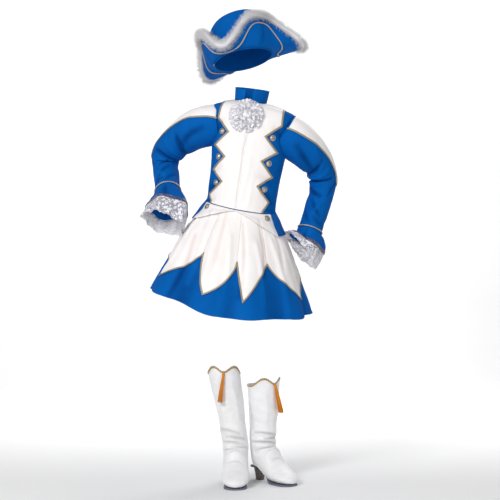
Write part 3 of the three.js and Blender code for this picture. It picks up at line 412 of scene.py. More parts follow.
# Creases of a sleeve, by degrees from its outer side towards the front, and place from the shoulder
SLEEVE_CREASES = [
    (165, 0.27, 75, 0.22, 8.5, -9.5),
    (170, 0.31, 60, 0.29, 8.5, 7.6),
    (170, 0.345, 50, 0.35, 7.5, -9.5),
    (172, 0.385, 62, 0.41, 8.5, 8.5),
    (168, 0.42, 84, 0.47, 8.5, -7.6),
    (-170, 0.28, -80, 0.22, 9.5, -7.6),
    (-170, 0.35, -60, 0.36, 8.5, -8.5),
    (-172, 0.41, -80, 0.46, 8.5, -6.6),
    (100, 0.10, 120, 0.22, 10.6, -6.6),
    (60, 0.15, 86, 0.25, 10.6, 4.8),
    (120, 0.50, 60, 0.57, 8.5, -5.7),
    (40, 0.47, 100, 0.56, 8.5, 4.9),
    (20, 0.38, 45, 0.46, 8.5, -4.8),
    (90, 0.585, 30, 0.60, 7.5, -4.6),
    (150, 0.56, 100, 0.61, 7.5, -4.6),
    (-40, 0.44, -110, 0.53, 9.5, -5.7),
    (-100, 0.12, -130, 0.24, 10.6, -6.6),
    (-60, 0.57, -140, 0.60, 8.5, -4.9),
    (10, 0.56, -40, 0.60, 7.5, -4.2),
    (30, 0.66, 34, 0.80, 8.5, 4.2),
    (100, 0.66, 96, 0.80, 8.5, -4.6),
    (-60, 0.66, -66, 0.80, 8.5, -4.6),
    (-120, 0.66, -118, 0.80, 8.5, 4.2),
]


def sleeve_surface(side, sign):
    creases = [(sign * u1, v1, sign * u2, v2, w, d) for u1, v1, u2, v2, w, d in SLEEVE_CREASES]
    return Surface(arm_point(side), 1, crease_field(creases, 1.0, 620))


SLEEVES = {side: sleeve_surface(side, sign) for side, sign in SIDES}


def inside_body(points):
    heights = np.array([row[0] for row in BODY_SECTIONS], float)
    place = np.interp(points[..., 2], heights, np.linspace(0, 1, len(heights)))
    _, across, deep, shift, _ = section(BODY_SECTIONS, place)
    within = ((points[..., 0] - shift) / across) ** 2 + (points[..., 1] / deep) ** 2 < 1
    return within & (points[..., 2] < heights[-1])


def armhole(side, angle):
    """The place along an arm where its sleeve comes out of the body, at each angle."""
    low, high = np.zeros(np.shape(angle)), np.full(np.shape(angle), 0.24)
    for _ in range(18):
        middle = (low + high) / 2
        within = inside_body(SLEEVES[side].point(angle, middle))
        low, high = np.where(within, middle, low), np.where(within, high, middle)
    return low


def inside_sleeve(side, points):
    """Which points lie within a sleeve near the shoulder, by the armhole's margin."""
    best = np.full(len(points), np.inf)
    inside = np.zeros(len(points), bool)
    for place in np.linspace(0, 0.2, 24):
        middle, along, outer, around, across, deep = arm_frame(side, np.array(place))
        rel = points - middle
        run = np.abs(rel @ along)
        a = (rel @ outer) / (across - ARMHOLE_MARGIN)
        b = (rel @ around) / (deep - ARMHOLE_MARGIN)
        nearer = run < best
        best = np.where(nearer, run, best)
        inside = np.where(nearer, (a * a + b * b < 1) & (run < 12), inside)
    return inside


# The skirt, from the waist down: drop, half width, depth in front and behind
SKIRT_SECTIONS = [
    (1, 118, 91, 91),
    (48, 140, 110, 112),
    (95, 168, 136, 141),
    (142, 191, 158, 168),
    (188, 211, 177, 190),
    (235, 233, 196, 213),
    (282, 255, 214, 234),
    (327, 273, 230, 252),
]
SKIRT_FOLDS = [
    (-157.5, -10),
    (-142.5, 13),
    (-120, -11),
    (-97.5, 10),
    (-75, -8),
    (-52.5, 13),
    (-30, -13),
    (-7.5, 9),
    (7.5, -10),
    (22.5, 14),
    (45, -11),
    (67.5, 11),
    (82.5, -9),
    (97.5, 11),
    (120, -12),
    (142.5, 10),
    (157.5, -9),
    (180, 13),
]
HEM_LIFT = ((-50, 30, 20), (4, 16, -9))
SKIRT_SHIFT = 12


def fold_depth(folds, angle):
    """The depth of the cloth's folds at an angle, between ridges and troughs."""
    spots = np.array([spot for spot, _ in folds] + [folds[0][0] + 360], float)
    depths = np.array([depth for _, depth in folds] + [folds[0][1]], float)
    turn = (angle - spots[0]) % 360 + spots[0]
    after = np.clip(np.searchsorted(spots, turn, side="right"), 1, len(spots) - 1)
    t = (turn - spots[after - 1]) / (spots[after] - spots[after - 1])
    return mix(depths[after - 1], depths[after], 0.5 - 0.5 * np.cos(math.pi * t))


def skirt_point(angle, place):
    angle, place = as_arrays(angle, place)
    drop, across, front, back = section(SKIRT_SECTIONS, place)
    down = np.clip(place, 0, 1)
    fold = fold_depth(SKIRT_FOLDS, angle) * down**1.3
    turn = np.radians(angle)
    y = -(np.where(np.cos(turn) > 0, front, back) + fold) * np.cos(turn)
    x = 2 + SKIRT_SHIFT * place + (across + fold) * np.sin(turn)
    from_front = (angle + 180) % 360 - 180
    lifted = sum(rise * hill(from_front, spot, width) for spot, width, rise in HEM_LIFT)
    tilt = x * WAIST_TILT * (1 - place)
    return np.stack([x, y, -330 - drop + y * WAIST_SLOPE - tilt + lifted * place], -1)


# Finer folds of the skirt, by angle from the front and place from the waist
SKIRT_CREASES = [
    (-58, 0.20, -66, 1.02, 10.3, 7.5),
    (-44, 0.35, -42, 1.02, 9.2, -6.6),
    (-36, 0.10, -30, 0.80, 10.3, 5.7),
    (-20, 0.30, -18, 1.02, 9.2, 6.6),
    (-13, 0.08, -14, 0.75, 9.2, -4.8),
    (0, 0.25, 1, 1.02, 10.3, 7.5),
    (14, 0.12, 15, 0.80, 8, -5.3),
    (30, 0.30, 33, 1.02, 10.3, 7),
    (38, 0.10, 37, 0.60, 9.2, -4.8),
    (52, 0.25, 56, 1.02, 10.3, 7),
    (62, 0.08, 60, 0.55, 9.2, -4.8),
    (75, 0.30, 76, 1.02, 10.3, 6.2),
    (-76, 0.12, -80, 0.70, 9.2, -5.3),
    (-88, 0.30, -88, 1.02, 10.3, 6.6),
    (90, 0.10, 90, 0.70, 9.2, -5.3),
    (108, 0.25, 110, 1.02, 11.5, 7),
    (130, 0.12, 132, 0.80, 10.3, -5.7),
    (150, 0.30, 150, 1.02, 10.3, 6.6),
    (168, 0.10, 170, 0.75, 10.3, -5.7),
    (188, 0.28, 190, 1.02, 11.5, 7),
    (206, 0.12, 207, 0.70, 10.3, -5.3),
    (226, 0.30, 229, 1.02, 11.5, 7),
    (252, 0.20, 250, 1.02, 10.3, 6.2),
]
SKIRT_AROUND = 3.4
SKIRT_ALONG = 345
SKIRT = Surface(
    skirt_point,
    -1,
    crease_field(SKIRT_CREASES, SKIRT_AROUND, SKIRT_ALONG),
    lambda angle, place: fold_depth(SKIRT_FOLDS, angle) * np.clip(place, 0, 1) ** 1.3,
)

# The hat
CROWN_RADIUS = 102.4
CROWN_SECTIONS = [
    (-4, 100, 0),
    (35, 103, 0),
    (75, 104, 2),
    (112, 98, 7),
    (139, 80, 14),
    (153, 50, 22),
    (158, 16, 27),
]
POINT_REACH = (140, 204, 194)
POINT_RISE = 6
FLAP_REACH = 129
FLAP_RISE = 94
FUR_RADIUS = 17
FUR_CORE = 8


def crown_point(angle, place):
    z, radius, shift = section(CROWN_SECTIONS, place)
    turn = np.radians(angle)
    return np.stack([shift + radius * np.sin(turn), -radius * np.cos(turn), z + 0 * turn], -1)


def brim_point(angle, place):
    angle, place = as_arrays(angle, place)
    from_front = (angle + 180) % 360 - 180
    near = np.cos(np.radians(1.5 * from_front)) ** 2
    front, left, right = POINT_REACH
    point_reach = np.where(from_front > 60, left, np.where(from_front < -60, right, front))
    reach = mix(FLAP_REACH, point_reach, near**2.2)
    rise = mix(FLAP_RISE, POINT_RISE, near**1.7)
    bend = math.pi / 2 * place
    radius = mix(CROWN_RADIUS, reach, np.sin(bend))
    turn = np.radians(angle)
    return np.stack([radius * np.sin(turn), -radius * np.cos(turn), rise * (1 - np.cos(bend))], -1)


BRIM_CREASES = [
    (-60, 0.15, -52, 0.85, 10, -2.4),
    (60, 0.2, 66, 0.9, 10, -2.7),
    (20, 0.3, 34, 0.8, 12, 2.1),
    (-24, 0.3, -34, 0.8, 12, 2.1),
    (100, 0.3, 96, 0.9, 12, 2.2),
    (150, 0.2, 148, 0.9, 12, -2.2),
    (-110, 0.3, -104, 0.9, 12, -2.2),
    (-160, 0.2, -165, 0.8, 12, 2.1),
]
CROWN = Surface(crown_point, 1)
BRIM = Surface(brim_point, 1, crease_field(BRIM_CREASES, 2.2, 120))

# Boots: middle of a section along the foot and up, half width, half length, slope from level
BOOT_SECTIONS = [
    (0, 385, 55, 58, 0),
    (0, 330, 52, 56, 0),
    (1, 270, 49, 54, 0),
    (3, 215, 45, 50, 0),
    (4, 165, 44, 48, 0),
    (3, 125, 43, 48, 5),
    (-4, 92, 42, 54, 28),
    (-24, 72, 43, 58, 52),
    (-55, 52, 44, 46, 72),
    (-90, 36, 47, 32, 84),
    (-122, 27, 44, 23, 90),
    (-148, 21, 31, 15, 90),
    (-160, 18, 12, 8, 90),
]
ANKLE = 125
SLOUCH_FOLDS = ((178, 13), (150, 10), (122, 9))
ARCH = ((-160, 0), (-84, 0), (-64, 7), (-34, 33), (-12, 46), (60, 46))
SOLE_THICK = 5
SOLE_HALF = 39
SOLE_BACK = 46
SOLE_TOE = -160
HEEL_HEIGHT = 46
HEEL_HALF = (23, 21)
HEEL_MIDDLE = 20


def sole_height(y):
    return np.interp(y, [spot for spot, _ in ARCH], [height for _, height in ARCH])


def boot_top(angle):
    off = np.abs(angle)
    return -4 * hill(off, 0, 16) + 17 * hill(off, 38, 26) - 11 * smooth(off, 50, 95)


def boot_point(kind):
    def point(angle, place):
        angle, place = as_arrays(angle, place)
        from_front = (angle + 180) % 360 - 180
        s_y, s_z, wide, long, tilt = section(BOOT_SECTIONS, place)
        above = np.maximum(0, s_z - ANKLE)
        slouch = sum(hill(s_z, spot, width) for spot, width in SLOUCH_FOLDS)
        ring = 0.6 + 0.4 * np.cos(np.radians(2 * from_front + 60))
        swell = kind["slouch"] * slouch * (place < 0.5) * ring
        turn = np.radians(from_front)
        across = (wide + swell) * np.sin(turn)
        ahead = (long + swell) * np.cos(turn)
        top = boot_top(from_front) * (1 - np.clip(place * 6, 0, 1))
        height = s_z - above * (1 - kind["shaft"]) + ahead * np.sin(np.radians(tilt)) + top
        y = s_y - ahead * np.cos(np.radians(tilt))
        z = np.maximum(height, sole_height(y) + SOLE_THICK * 1.35)
        return np.stack([across - kind["lean"] * above, y, z], -1)

    return point


# Wrinkles of the leather, by angle from the front and place from the top of the shaft
BOOT_CREASES = {
    "right": [
        (-70, 0.30, 30, 0.325, 6, -5.1),
        (-40, 0.345, 60, 0.365, 6, -5.9),
        (-60, 0.385, 40, 0.40, 6, -5.1),
        (-20, 0.425, 70, 0.44, 6, -4.7),
        (-80, 0.47, 10, 0.46, 6, -4.3),
        (-30, 0.53, 30, 0.53, 5, -3.5),
        (-50, 0.60, 50, 0.61, 5, -3.1),
        (-30, 0.70, 40, 0.71, 5, -2.7),
        (20, 0.08, 34, 0.24, 8, 3.5),
        (-30, 0.10, -38, 0.27, 8, 3.5),
        (150, 0.28, 210, 0.30, 7, -5.1),
        (140, 0.36, 220, 0.37, 7, -5.9),
        (150, 0.43, 205, 0.44, 7, -5.1),
        (90, 0.12, 100, 0.26, 9, 3.1),
        (-100, 0.14, -95, 0.28, 9, -3.1),
    ],
    "left": [
        (-80, 0.31, 20, 0.33, 6, -6.6),
        (-30, 0.355, 80, 0.37, 6, -7.4),
        (-90, 0.39, 30, 0.405, 6, -6.6),
        (-10, 0.43, 90, 0.445, 6, -6.2),
        (-70, 0.47, 20, 0.465, 6, -5.1),
        (-30, 0.53, 35, 0.53, 5, -3.5),
        (-50, 0.60, 50, 0.61, 5, -3.1),
        (-30, 0.70, 40, 0.71, 5, -2.7),
        (24, 0.06, 30, 0.22, 8, 3.5),
        (-34, 0.08, -30, 0.25, 8, 3.9),
        (150, 0.29, 215, 0.31, 7, -5.9),
        (140, 0.37, 220, 0.38, 7, -6.6),
        (145, 0.44, 210, 0.45, 7, -5.9),
        (95, 0.12, 100, 0.27, 9, 3.5),
        (-105, 0.14, -98, 0.28, 9, -3.1),
    ],
}
LEATHER = {
    side: Surface(boot_point(kind), -1, crease_field(BOOT_CREASES[side], 0.9, 560))
    for side, kind in BOOTS.items()
}


# Making meshes


def laid_grid(columns, rows, place, ring=False, loop=False, shade=None):
    """A grid whose vertices lie where place(s, t) says, in millimetres, with its pattern in metres as UV.
    s runs across and t along, from 0 to 1. A ring closes across, and a loop along. shade(s, t) is how deep
    in a fold each vertex lies, kept in the "fold" attribute for painted shade in the folds. The grid's cut
    size comes with it."""
    bm = bmesh.new()
    pattern = bm.loops.layers.uv.new("UVMap")
    bmesh.ops.create_grid(bm, x_segments=columns, y_segments=rows, size=1)
    bm.verts.index_update()
    flat = np.array([v.co[:2] for v in bm.verts])
    share = (flat - flat.min(0)) / (flat.max(0) - flat.min(0))
    spots = place(share[:, 0], share[:, 1])
    order = np.lexsort((np.round(share[:, 0] * columns), np.round(share[:, 1] * rows)))
    net = spots[order].reshape(rows + 1, columns + 1, 3)
    width = np.linalg.norm(np.diff(net, axis=1), axis=-1).sum(1).max() * MILLIMETRE
    length = np.linalg.norm(np.diff(net, axis=0), axis=-1).sum(0).max() * MILLIMETRE
    for face in bm.faces:
        for corner in face.loops:
            s, t = share[corner.vert.index]
            corner[pattern].uv = (s * width, t * length)
    for vert, spot in zip(bm.verts, spots):
        vert.co = spot
    # Painted shade: the fold depth that darkens the colour in the folds
    if shade:
        fold = bm.verts.layers.float.new("fold")
        for vert, depth in zip(bm.verts, shade(share[:, 0], share[:, 1])):
            vert[fold] = depth
    if ring or loop:
        bmesh.ops.remove_doubles(bm, verts=bm.verts, dist=SAME_SPOT)
    return bm, (width, length)


def sheet_on(surface, pattern, columns, rows, lift=0.0, ring=False, swell=None):
    """Cloth laid on a surface. pattern(s, t) gives u and v, and swell(s, t) adds to how far it stands off."""

    def place(s, t):
        u, v = pattern(s, t)
        stand = surface.at(u, v, lift)
        return stand + surface.out(u, v) * swell(s, t)[:, None] if swell else stand

    bm, size = laid_grid(columns, rows, place, ring=ring, shade=lambda s, t: surface.hollow(*pattern(s, t)))
    bm.normal_update()
    sample = [v for v in bm.verts if not v.is_boundary][::7]
    centre = pattern(np.array([0.5]), np.array([0.5]))
    spot = Vector(surface.at(*centre, lift)[0])
    nearest = min(sample, key=lambda v: (v.co - spot).length_squared)
    if nearest.normal.dot(Vector(surface.out(*centre)[0])) <= 0:
        bmesh.ops.reverse_faces(bm, faces=bm.faces)
    return bm, size


def span(u1, u2, v1, v2):
    """A plain pattern between two angles and two places."""
    return lambda s, t: (mix(u1, u2, s), mix(v1, v2, t))


def ripple(bm, scale, amount, seed=0.0):
    """Slight unevenness along the normals."""
    bm.normal_update()
    shift = Vector((seed, seed * 0.7, -seed))
    for vert in bm.verts:
        vert.co += vert.normal * (noise.noise(vert.co * scale + shift) * amount)


def face_towards(bm, direction):
    """Turns a mesh's faces so that on the whole they look along a direction."""
    bm.normal_update()
    if sum(face.normal.dot(direction) for face in bm.faces) < 0:
        bmesh.ops.reverse_faces(bm, faces=bm.faces)


def fill_holes(bm, chosen=None):
    """Closes a mesh's open edges, or those whose first vertex is chosen by its place."""
    edges = [e for e in bm.edges if e.is_boundary and (chosen is None or chosen(e.verts[0].co))]
    bmesh.ops.holes_fill(bm, edges=edges, sides=0)


def set_pattern(bm, pattern, uv_of):
    """Gives each corner of a mesh the UV of its vertex."""
    for face in bm.faces:
        for corner in face.loops:
            corner[pattern].uv = uv_of(corner.vert)


def swept(points, outs, profile, sides, closed=False):
    """A solid trim along a line on a surface. profile(turn, run) gives its outline across and outwards, by
    the turn round it in radians and the run along the line, in millimetres."""
    n = len(points)
    into = points - np.roll(points, 1, 0)
    onward = np.roll(points, -1, 0) - points
    if not closed:
        into[0], onward[-1] = onward[0], into[-1]
    into, onward = unit(into), unit(onward)
    run = unit(into + onward)
    side = unit(np.cross(outs, run))
    mitre = 1 / np.clip((run * onward).sum(-1), 0.5, 1)
    steps = np.linalg.norm(np.diff(points, axis=0), axis=1)
    length = np.concatenate([[0], np.cumsum(steps)])
    rows = n if closed else n - 1

    def place(s, t):
        j = np.round(s * sides).astype(int)
        i = np.round(t * rows).astype(int) % n
        across, off = profile(2 * math.pi * (j % sides) / sides, length[i])
        return points[i] + side[i] * (across * mitre[i])[:, None] + outs[i] * off[:, None]

    bm, _ = laid_grid(sides, rows, place, ring=True, loop=closed)
    if not closed:
        fill_holes(bm)
    bmesh.ops.recalc_face_normals(bm, faces=bm.faces)
    return bm


def flat_braid(width, low, high, pitch):
    """A flat plaited braid with a softly notched edge."""

    def profile(turn, run):
        c, s = np.cos(turn), np.sin(turn)
        notch = 1 + 0.07 * np.cos(2 * math.pi * run / pitch)
        across = width / 2 * np.sign(c) * np.abs(c) ** 0.6 * notch
        crown = 0.5 + 0.5 * np.sign(s) * np.abs(s) ** 0.7
        return across, low + (high - low) * crown

    return profile


def twisted_cord(radius, lift, pitch):
    """A cord of two twisted plies."""

    def profile(turn, run):
        ply = radius * (1 + 0.2 * np.cos(2 * turn - 2 * math.pi * run / pitch) - 0.1)
        return ply * np.cos(turn), lift + ply * np.sin(turn)

    return profile


def plain_tube(radius, lift):
    return lambda turn, run: (radius * np.cos(turn) + 0 * run, lift + radius * np.sin(turn) + 0 * run)


def line_on(surface, us, vs, spacing, closed=False):
    """Evenly spaced points along a line of places on a surface that keep its corners, with their normals."""
    us, vs = np.asarray(us, float), np.asarray(vs, float)
    rough = surface.at(us, vs)
    gaps = np.linalg.norm(np.diff(rough, axis=0), axis=1)
    u_all, v_all = [us[:1]], [vs[:1]]
    for i, gap in enumerate(gaps):
        t = np.linspace(0, 1, max(1, round(gap / spacing)) + 1)[1:]
        u_all.append(mix(us[i], us[i + 1], t))
        v_all.append(mix(vs[i], vs[i + 1], t))
    u, v = np.concatenate(u_all), np.concatenate(v_all)
    if closed:
        u, v = u[:-1], v[:-1]
    return surface.at(u, v), surface.out(u, v)


def trim_on(surface, us, vs, spacing, profile, sides=8, closed=False):
    """A solid trim along a line of places on a surface."""
    points, outs = line_on(surface, us, vs, spacing, closed)
    return swept(points, outs, profile, sides, closed)


def copies(template, matrices):
    """Copies of one small mesh as one joined mesh."""
    template.verts.index_update()
    verts = np.array([v.co for v in template.verts])
    faces = [[v.index for v in f.verts] for f in template.faces]
    count = len(verts)
    places = [(verts @ m[:3, :3].T + m[:3, 3]) for m in matrices]
    mesh = bpy.data.meshes.new("copies")
    whole = [[k + i * count for k in face] for i in range(len(matrices)) for face in faces]
    mesh.from_pydata(np.concatenate(places).tolist(), [], whole)
    bm = bmesh.new()
    bm.from_mesh(mesh)
    bpy.data.meshes.remove(mesh)
    return bm


def joined(meshes):
    """Several meshes as one."""
    whole = bmesh.new()
    whole.loops.layers.uv.new("UVMap")
    for bm in meshes:
        part = bpy.data.meshes.new("part")
        bm.to_mesh(part)
        bm.free()
        whole.from_mesh(part)
        bpy.data.meshes.remove(part)
    return whole


def cloth_area(bm):
    return sum(face.calc_area() for face in bm.faces) * MILLIMETRE**2


def sized(name):
    """One of the costume's sizes, in millimetres."""
    return getattr(bpy.context.scene.costume_sizes, name) / MILLIMETRE


def new_object(name, bm, group, material):
    """An object in metres from a mesh in the millimetres of its group."""
    bmesh.ops.transform(bm, matrix=Matrix.Scale(MILLIMETRE, 4) @ group, verts=bm.verts)
    mesh = bpy.data.meshes.new(name)
    bm.to_mesh(mesh)
    bm.free()
    mesh.shade_smooth()
    mesh.materials.append(bpy.data.materials[material])
    made = bpy.data.objects.new(name, mesh)
    bpy.context.scene.collection.objects.link(made)
    return made


def finish_piece(name, bm, look, nodes=(), group=UPPER_BODY, thick=0.0, normals=None):
    """Places a piece in the part's frame, in metres, and hides the CAD parts that it stands for. thick is the
    wall that the cloth gets on its inner side, in millimetres."""
    material, slot = look
    piece = new_object(name, bm, group, material)
    if normals:
        turned_normals = np.array(normals) @ np.array(group.to_3x3()).T
        piece.data.normals_split_custom_set_from_vertices(turned_normals.tolist())
    if thick:
        modifier = piece.modifiers.new("Cloth thickness", "SOLIDIFY")
        modifier.thickness = thick * MILLIMETRE
        modifier.offset = -1
    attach(piece, "root")
    if nodes:
        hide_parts(*nodes)
    return piece


def cloth_piece(name, made, look, nodes, group=UPPER_BODY, thick=CLOTH):
    """A piece of cloth from its grid and cut size."""
    bm, (width, length) = made
    ripple(bm, RIPPLE_SCALE, sized("ripple"), len(name))
    area = cloth_area(bm)
    piece = finish_piece(name, bm, look, nodes, group, thick)
    width = min(width, WIDEST_CUT * area / length)
    return piece


# Materials


class Nodes:
    """A tree of shader nodes, with short ways to add to it. An input is a value, or a socket to link."""

    def __init__(self, tree):
        self.tree = tree

    def feed(self, node, inputs):
        for key, value in inputs.items():
            if isinstance(value, bpy.types.NodeSocket):
                self.tree.links.new(value, node.inputs[key])
            else:
                node.inputs[key].default_value = value

    def add(self, kind, inputs=None, **settings):
        """The outputs of a new node."""
        node = self.tree.nodes.new("ShaderNode" + kind)
        for key, value in settings.items():
            setattr(node, key, value)
        self.feed(node, inputs or {})
        return node.outputs

    def maths(self, operation, a, b=0.0, clamp=False):
        return self.add("Math", {0: a, 1: b}, operation=operation, use_clamp=clamp)[0]

    def halved(self, value):
        """Half of a value, and a half."""
        return self.add("Math", {0: value, 1: 0.5, 2: 0.5}, operation="MULTIPLY_ADD")[0]

    def wave(self, value):
        return self.maths("SINE", self.maths("MULTIPLY", value, 2 * math.pi))

    def off_middle(self, value):
        return self.maths("ABSOLUTE", self.maths("SUBTRACT", value, 0.5))

    def spread(self, value, low, high, start=0.0, end=1.0):
        """A value from between start and end, brought to between low and high."""
        inputs = {"Value": value, "From Min": start, "From Max": end, "To Min": low, "To Max": high}
        return self.add("MapRange", inputs)["Result"]

    def cells(self, place, scale, randomness=1.0, feature="DISTANCE_TO_EDGE"):
        inputs = {"Vector": place, "Scale": scale, "Randomness": randomness}
        return self.add("TexVoronoi", inputs, feature=feature)["Distance"]

    def scaled(self, vector, scale):
        return self.add("VectorMath", {0: vector, "Scale": scale}, operation="SCALE")["Vector"]

    def effect(self, name, inputs):
        """The outputs of a node group with its inputs."""
        node = self.tree.nodes.new("ShaderNodeGroup")
        node.node_tree = bpy.data.node_groups[name]
        self.feed(node, inputs)
        return node.outputs

    def mottle(self, place, scale):
        return self.effect("mottle", {"Place": place, "Scale": scale})["Mask"]


def build_weave(nodes, entry):
    """Two sets of crossing threads."""
    parts = nodes.add("SeparateXYZ", {0: nodes.scaled(entry["Pattern"], entry["Threads"])})
    return [nodes.halved(nodes.maths("MULTIPLY", nodes.wave(parts["X"]), nodes.wave(parts["Y"])))]


def build_mottle(nodes, entry):
    """Soft uneven patches."""
    inputs = {"Vector": entry["Place"], "Scale": entry["Scale"], "Detail": 4.0, "Roughness": 0.55}
    return [nodes.spread(nodes.add("TexNoise", inputs)["Fac"], 0.0, 1.0, 0.32, 0.68)]


def build_net(nodes, entry):
    """Lace: a net of round holes, with closed leaves and stems."""
    scaled = nodes.scaled(entry["Pattern"], entry["Density"])
    thread = nodes.maths("LESS_THAN", nodes.cells(scaled, 1.0, 0.35), 0.17)
    leaf = nodes.maths("LESS_THAN", nodes.cells(scaled, 0.3, 0.9, "F1"), 0.36)
    winding = nodes.add("TexNoise", {"Vector": scaled, "Scale": 0.3, "Detail": 1.0})["Fac"]
    stem = nodes.maths("LESS_THAN", nodes.off_middle(winding), 0.045)
    motif = nodes.maths("MAXIMUM", leaf, stem)
    height = nodes.maths("ADD", nodes.maths("MULTIPLY", thread, 0.4), motif)
    return [nodes.maths("MAXIMUM", thread, motif), height, motif]


def build_plait(nodes, entry):
    """Slanting strands that cross in the middle of a braid."""
    parts = nodes.add("SeparateXYZ", {0: entry["Pattern"]})
    off = nodes.off_middle(nodes.maths("DIVIDE", parts["X"], entry["Width"]))
    run = nodes.maths("DIVIDE", parts["Y"], entry["Pitch"])
    return [nodes.halved(nodes.wave(nodes.maths("ADD", run, nodes.maths("MULTIPLY", off, 1.6))))]


# The node groups that the materials share: builder, name of the vector, other inputs and outputs
EFFECTS = {
    "weave": (build_weave, "Pattern", {"Threads": 1500.0}, ["Height"]),
    "mottle": (build_mottle, "Place", {"Scale": 20.0}, ["Mask"]),
    "net": (build_net, "Pattern", {"Density": 400.0}, ["Cover", "Height", "Motif"]),
    "plait": (build_plait, "Pattern", {"Width": 0.02, "Pitch": 0.0034}, ["Height"]),
}


def build_effects():
    for name, (build, vector, numbers, results) in EFFECTS.items():
        if name in bpy.data.node_groups:
            continue
        tree = bpy.data.node_groups.new(name, "ShaderNodeTree")
        tree.interface.new_socket(name=vector, in_out="INPUT", socket_type="NodeSocketVector")
        for label, value in numbers.items():
            socket = tree.interface.new_socket(name=label, in_out="INPUT", socket_type="NodeSocketFloat")
            socket.default_value = value
        for label in results:
            tree.interface.new_socket(name=label, in_out="OUTPUT", socket_type="NodeSocketFloat")
        sockets = build(Nodes(tree), tree.nodes.new("NodeGroupInput").outputs)
        end = tree.nodes.new("NodeGroupOutput")
        for label, socket in zip(results, sockets):
            tree.links.new(socket, end.inputs[label])


class Look(Nodes):
    """A material in the making. place is each spot's own coordinates, and pattern its UV."""

    def __init__(self, name, constants=None):
        material = bpy.data.materials.new(name)
        material.use_nodes = True
        super().__init__(material.node_tree)
        self.shader = self.tree.nodes["Principled BSDF"]
        self.feed(self.shader, constants or {})
        spots = self.add("TexCoord")
        self.place, self.pattern = spots["Object"], spots["UV"]

    def colour(self, mask, first, second):
        node = self.tree.nodes.new("ShaderNodeMix")
        node.data_type = "RGBA"
        self.tree.links.new(mask, node.inputs["Factor"])
        for socket, colour in zip([s for s in node.inputs if s.type == "RGBA"], (first, second)):
            socket.default_value = (*colour, 1)
        result = [s for s in node.outputs if s.type == "RGBA"][0]
        self.feed(self.shader, {"Base Color": result})

    def rough(self, mask, low, high):
        self.feed(self.shader, {"Roughness": self.spread(mask, low, high)})

    def relief(self, *heights):
        """Bumps in a chain: each is a height, its depth in metres and its strength."""
        bump = {}
        for height, depth, strength in heights:
            bump.update({"Height": height, "Distance": depth, "Strength": strength})
            bump["Normal"] = self.add("Bump", bump)["Normal"]
        self.feed(self.shader, {"Normal": bump["Normal"]})

    def painted_fold_shade(self, share):
        """Painted shade in the folds: how deep in a fold each spot lies, from the piece's own attribute,
        times a share.
        """
        return self.maths("MULTIPLY", self.add("Attribute", attribute_name="fold")["Fac"], share)

    def wrinkles(self, scale):
        """Patches with a scale of their own along each axis."""
        return self.mottle(self.add("Mapping", {"Vector": self.place, "Scale": scale})["Vector"], 1.0)


def shaded(colour, share):
    return [channel * share for channel in colour]


def make_cloth_material(name, base, fold, threads, rough, sheen, gloss, drape):
    look = Look(name, {"Sheen Weight": sheen, "Sheen Roughness": 0.5, "Specular IOR Level": gloss})
    patches = look.mottle(look.place, 14.0)
    wrinkles = look.wrinkles(drape)
    both = look.maths("MULTIPLY", look.maths("ADD", patches, wrinkles), 0.16)
    # Colour: random patches and the wrinkles' pattern darken it a little, and the fold attribute paints shade
    # in the folds, mixing towards the fold colour
    look.colour(look.maths("ADD", both, look.painted_fold_shade(0.85), clamp=True), base, fold)
    look.rough(patches, *rough)
    weave = look.effect("weave", {"Pattern": look.pattern, "Threads": threads})["Height"]
    look.relief((wrinkles, 0.0022, 0.5), (weave, 0.0002, 0.35))


def make_leather_material(base):
    look = Look("white leather", {"Specular IOR Level": 0.45, "Coat Weight": 0.08, "Coat Roughness": 0.3})
    patches = look.mottle(look.place, 26.0)
    # Random patches darken the white a little, and the fold attribute paints shade in the creases
    patches_and_crease_shade = look.maths("ADD", look.maths("MULTIPLY", patches, 0.2), look.painted_fold_shade(0.9), clamp=True)
    look.colour(patches_and_crease_shade, base, shaded(base, 0.62))
    look.rough(patches, 0.38, 0.58)
    grain = look.cells(look.place, 900.0)
    look.relief((look.wrinkles((16, 16, 60)), 0.003, 0.55), (grain, 0.0003, 0.3))


def make_lace_material(base, hole):
    look = Look("open lace", {"Roughness": 0.75, "Sheen Weight": 0.3})
    net = look.effect("net", {"Pattern": look.pattern, "Density": 1 / hole})
    look.feed(look.shader, {"Alpha": net["Cover"]})
    # Painted shade: the net between the motifs is coloured greyer and more mauve than the white motifs
    look.colour(net["Motif"], (0.60, 0.58, 0.67), base)
    look.relief((net["Height"], 0.0008, 0.7))


def make_braid_material(name, base, pitch, metal):
    look = Look(name, {"Specular IOR Level": 0.6})
    plait = look.effect("plait", {"Pattern": look.pattern, "Width": 0.012, "Pitch": pitch})["Height"]
    # Painted shade: the grooves of the plait are coloured a quarter as bright as the braid
    look.colour(plait, shaded(base, 0.25), base)
    look.rough(look.mottle(look.place, 120.0), 0.32, 0.55)
    look.feed(look.shader, {"Metallic": look.spread(plait, metal * 0.6, metal)})
    look.relief((plait, 0.0008, 0.6))


def make_strand_material(name, root, tip, rough, sheen):
    """Hair and silk: darker at the root end of the pattern's run. On the fur this is painted shade towards
    the barbs' roots; on the tassel the run is a tone that varies at random.
    """
    look = Look(name, {"Sheen Weight": sheen, "Specular IOR Level": 0.3})
    patches = look.mottle(look.place, 70.0)
    run = look.maths("MULTIPLY", look.add("SeparateXYZ", {0: look.pattern})["Y"], 2.0)
    look.colour(look.maths("ADD", run, look.maths("MULTIPLY", patches, 0.25), clamp=True), root, tip)
    look.rough(patches, *rough)


def make_metal_material(base):
    look = Look("button metal")
    tarnish = look.mottle(look.place, 160.0)
    look.colour(tarnish, base, shaded(base, 0.35))
    look.rough(tarnish, 0.25, 0.5)
    look.feed(look.shader, {"Metallic": look.spread(tarnish, 0.95, 0.6)})
    look.relief((look.cells(look.place, 420.0, 0.6), 0.0008, 0.5))


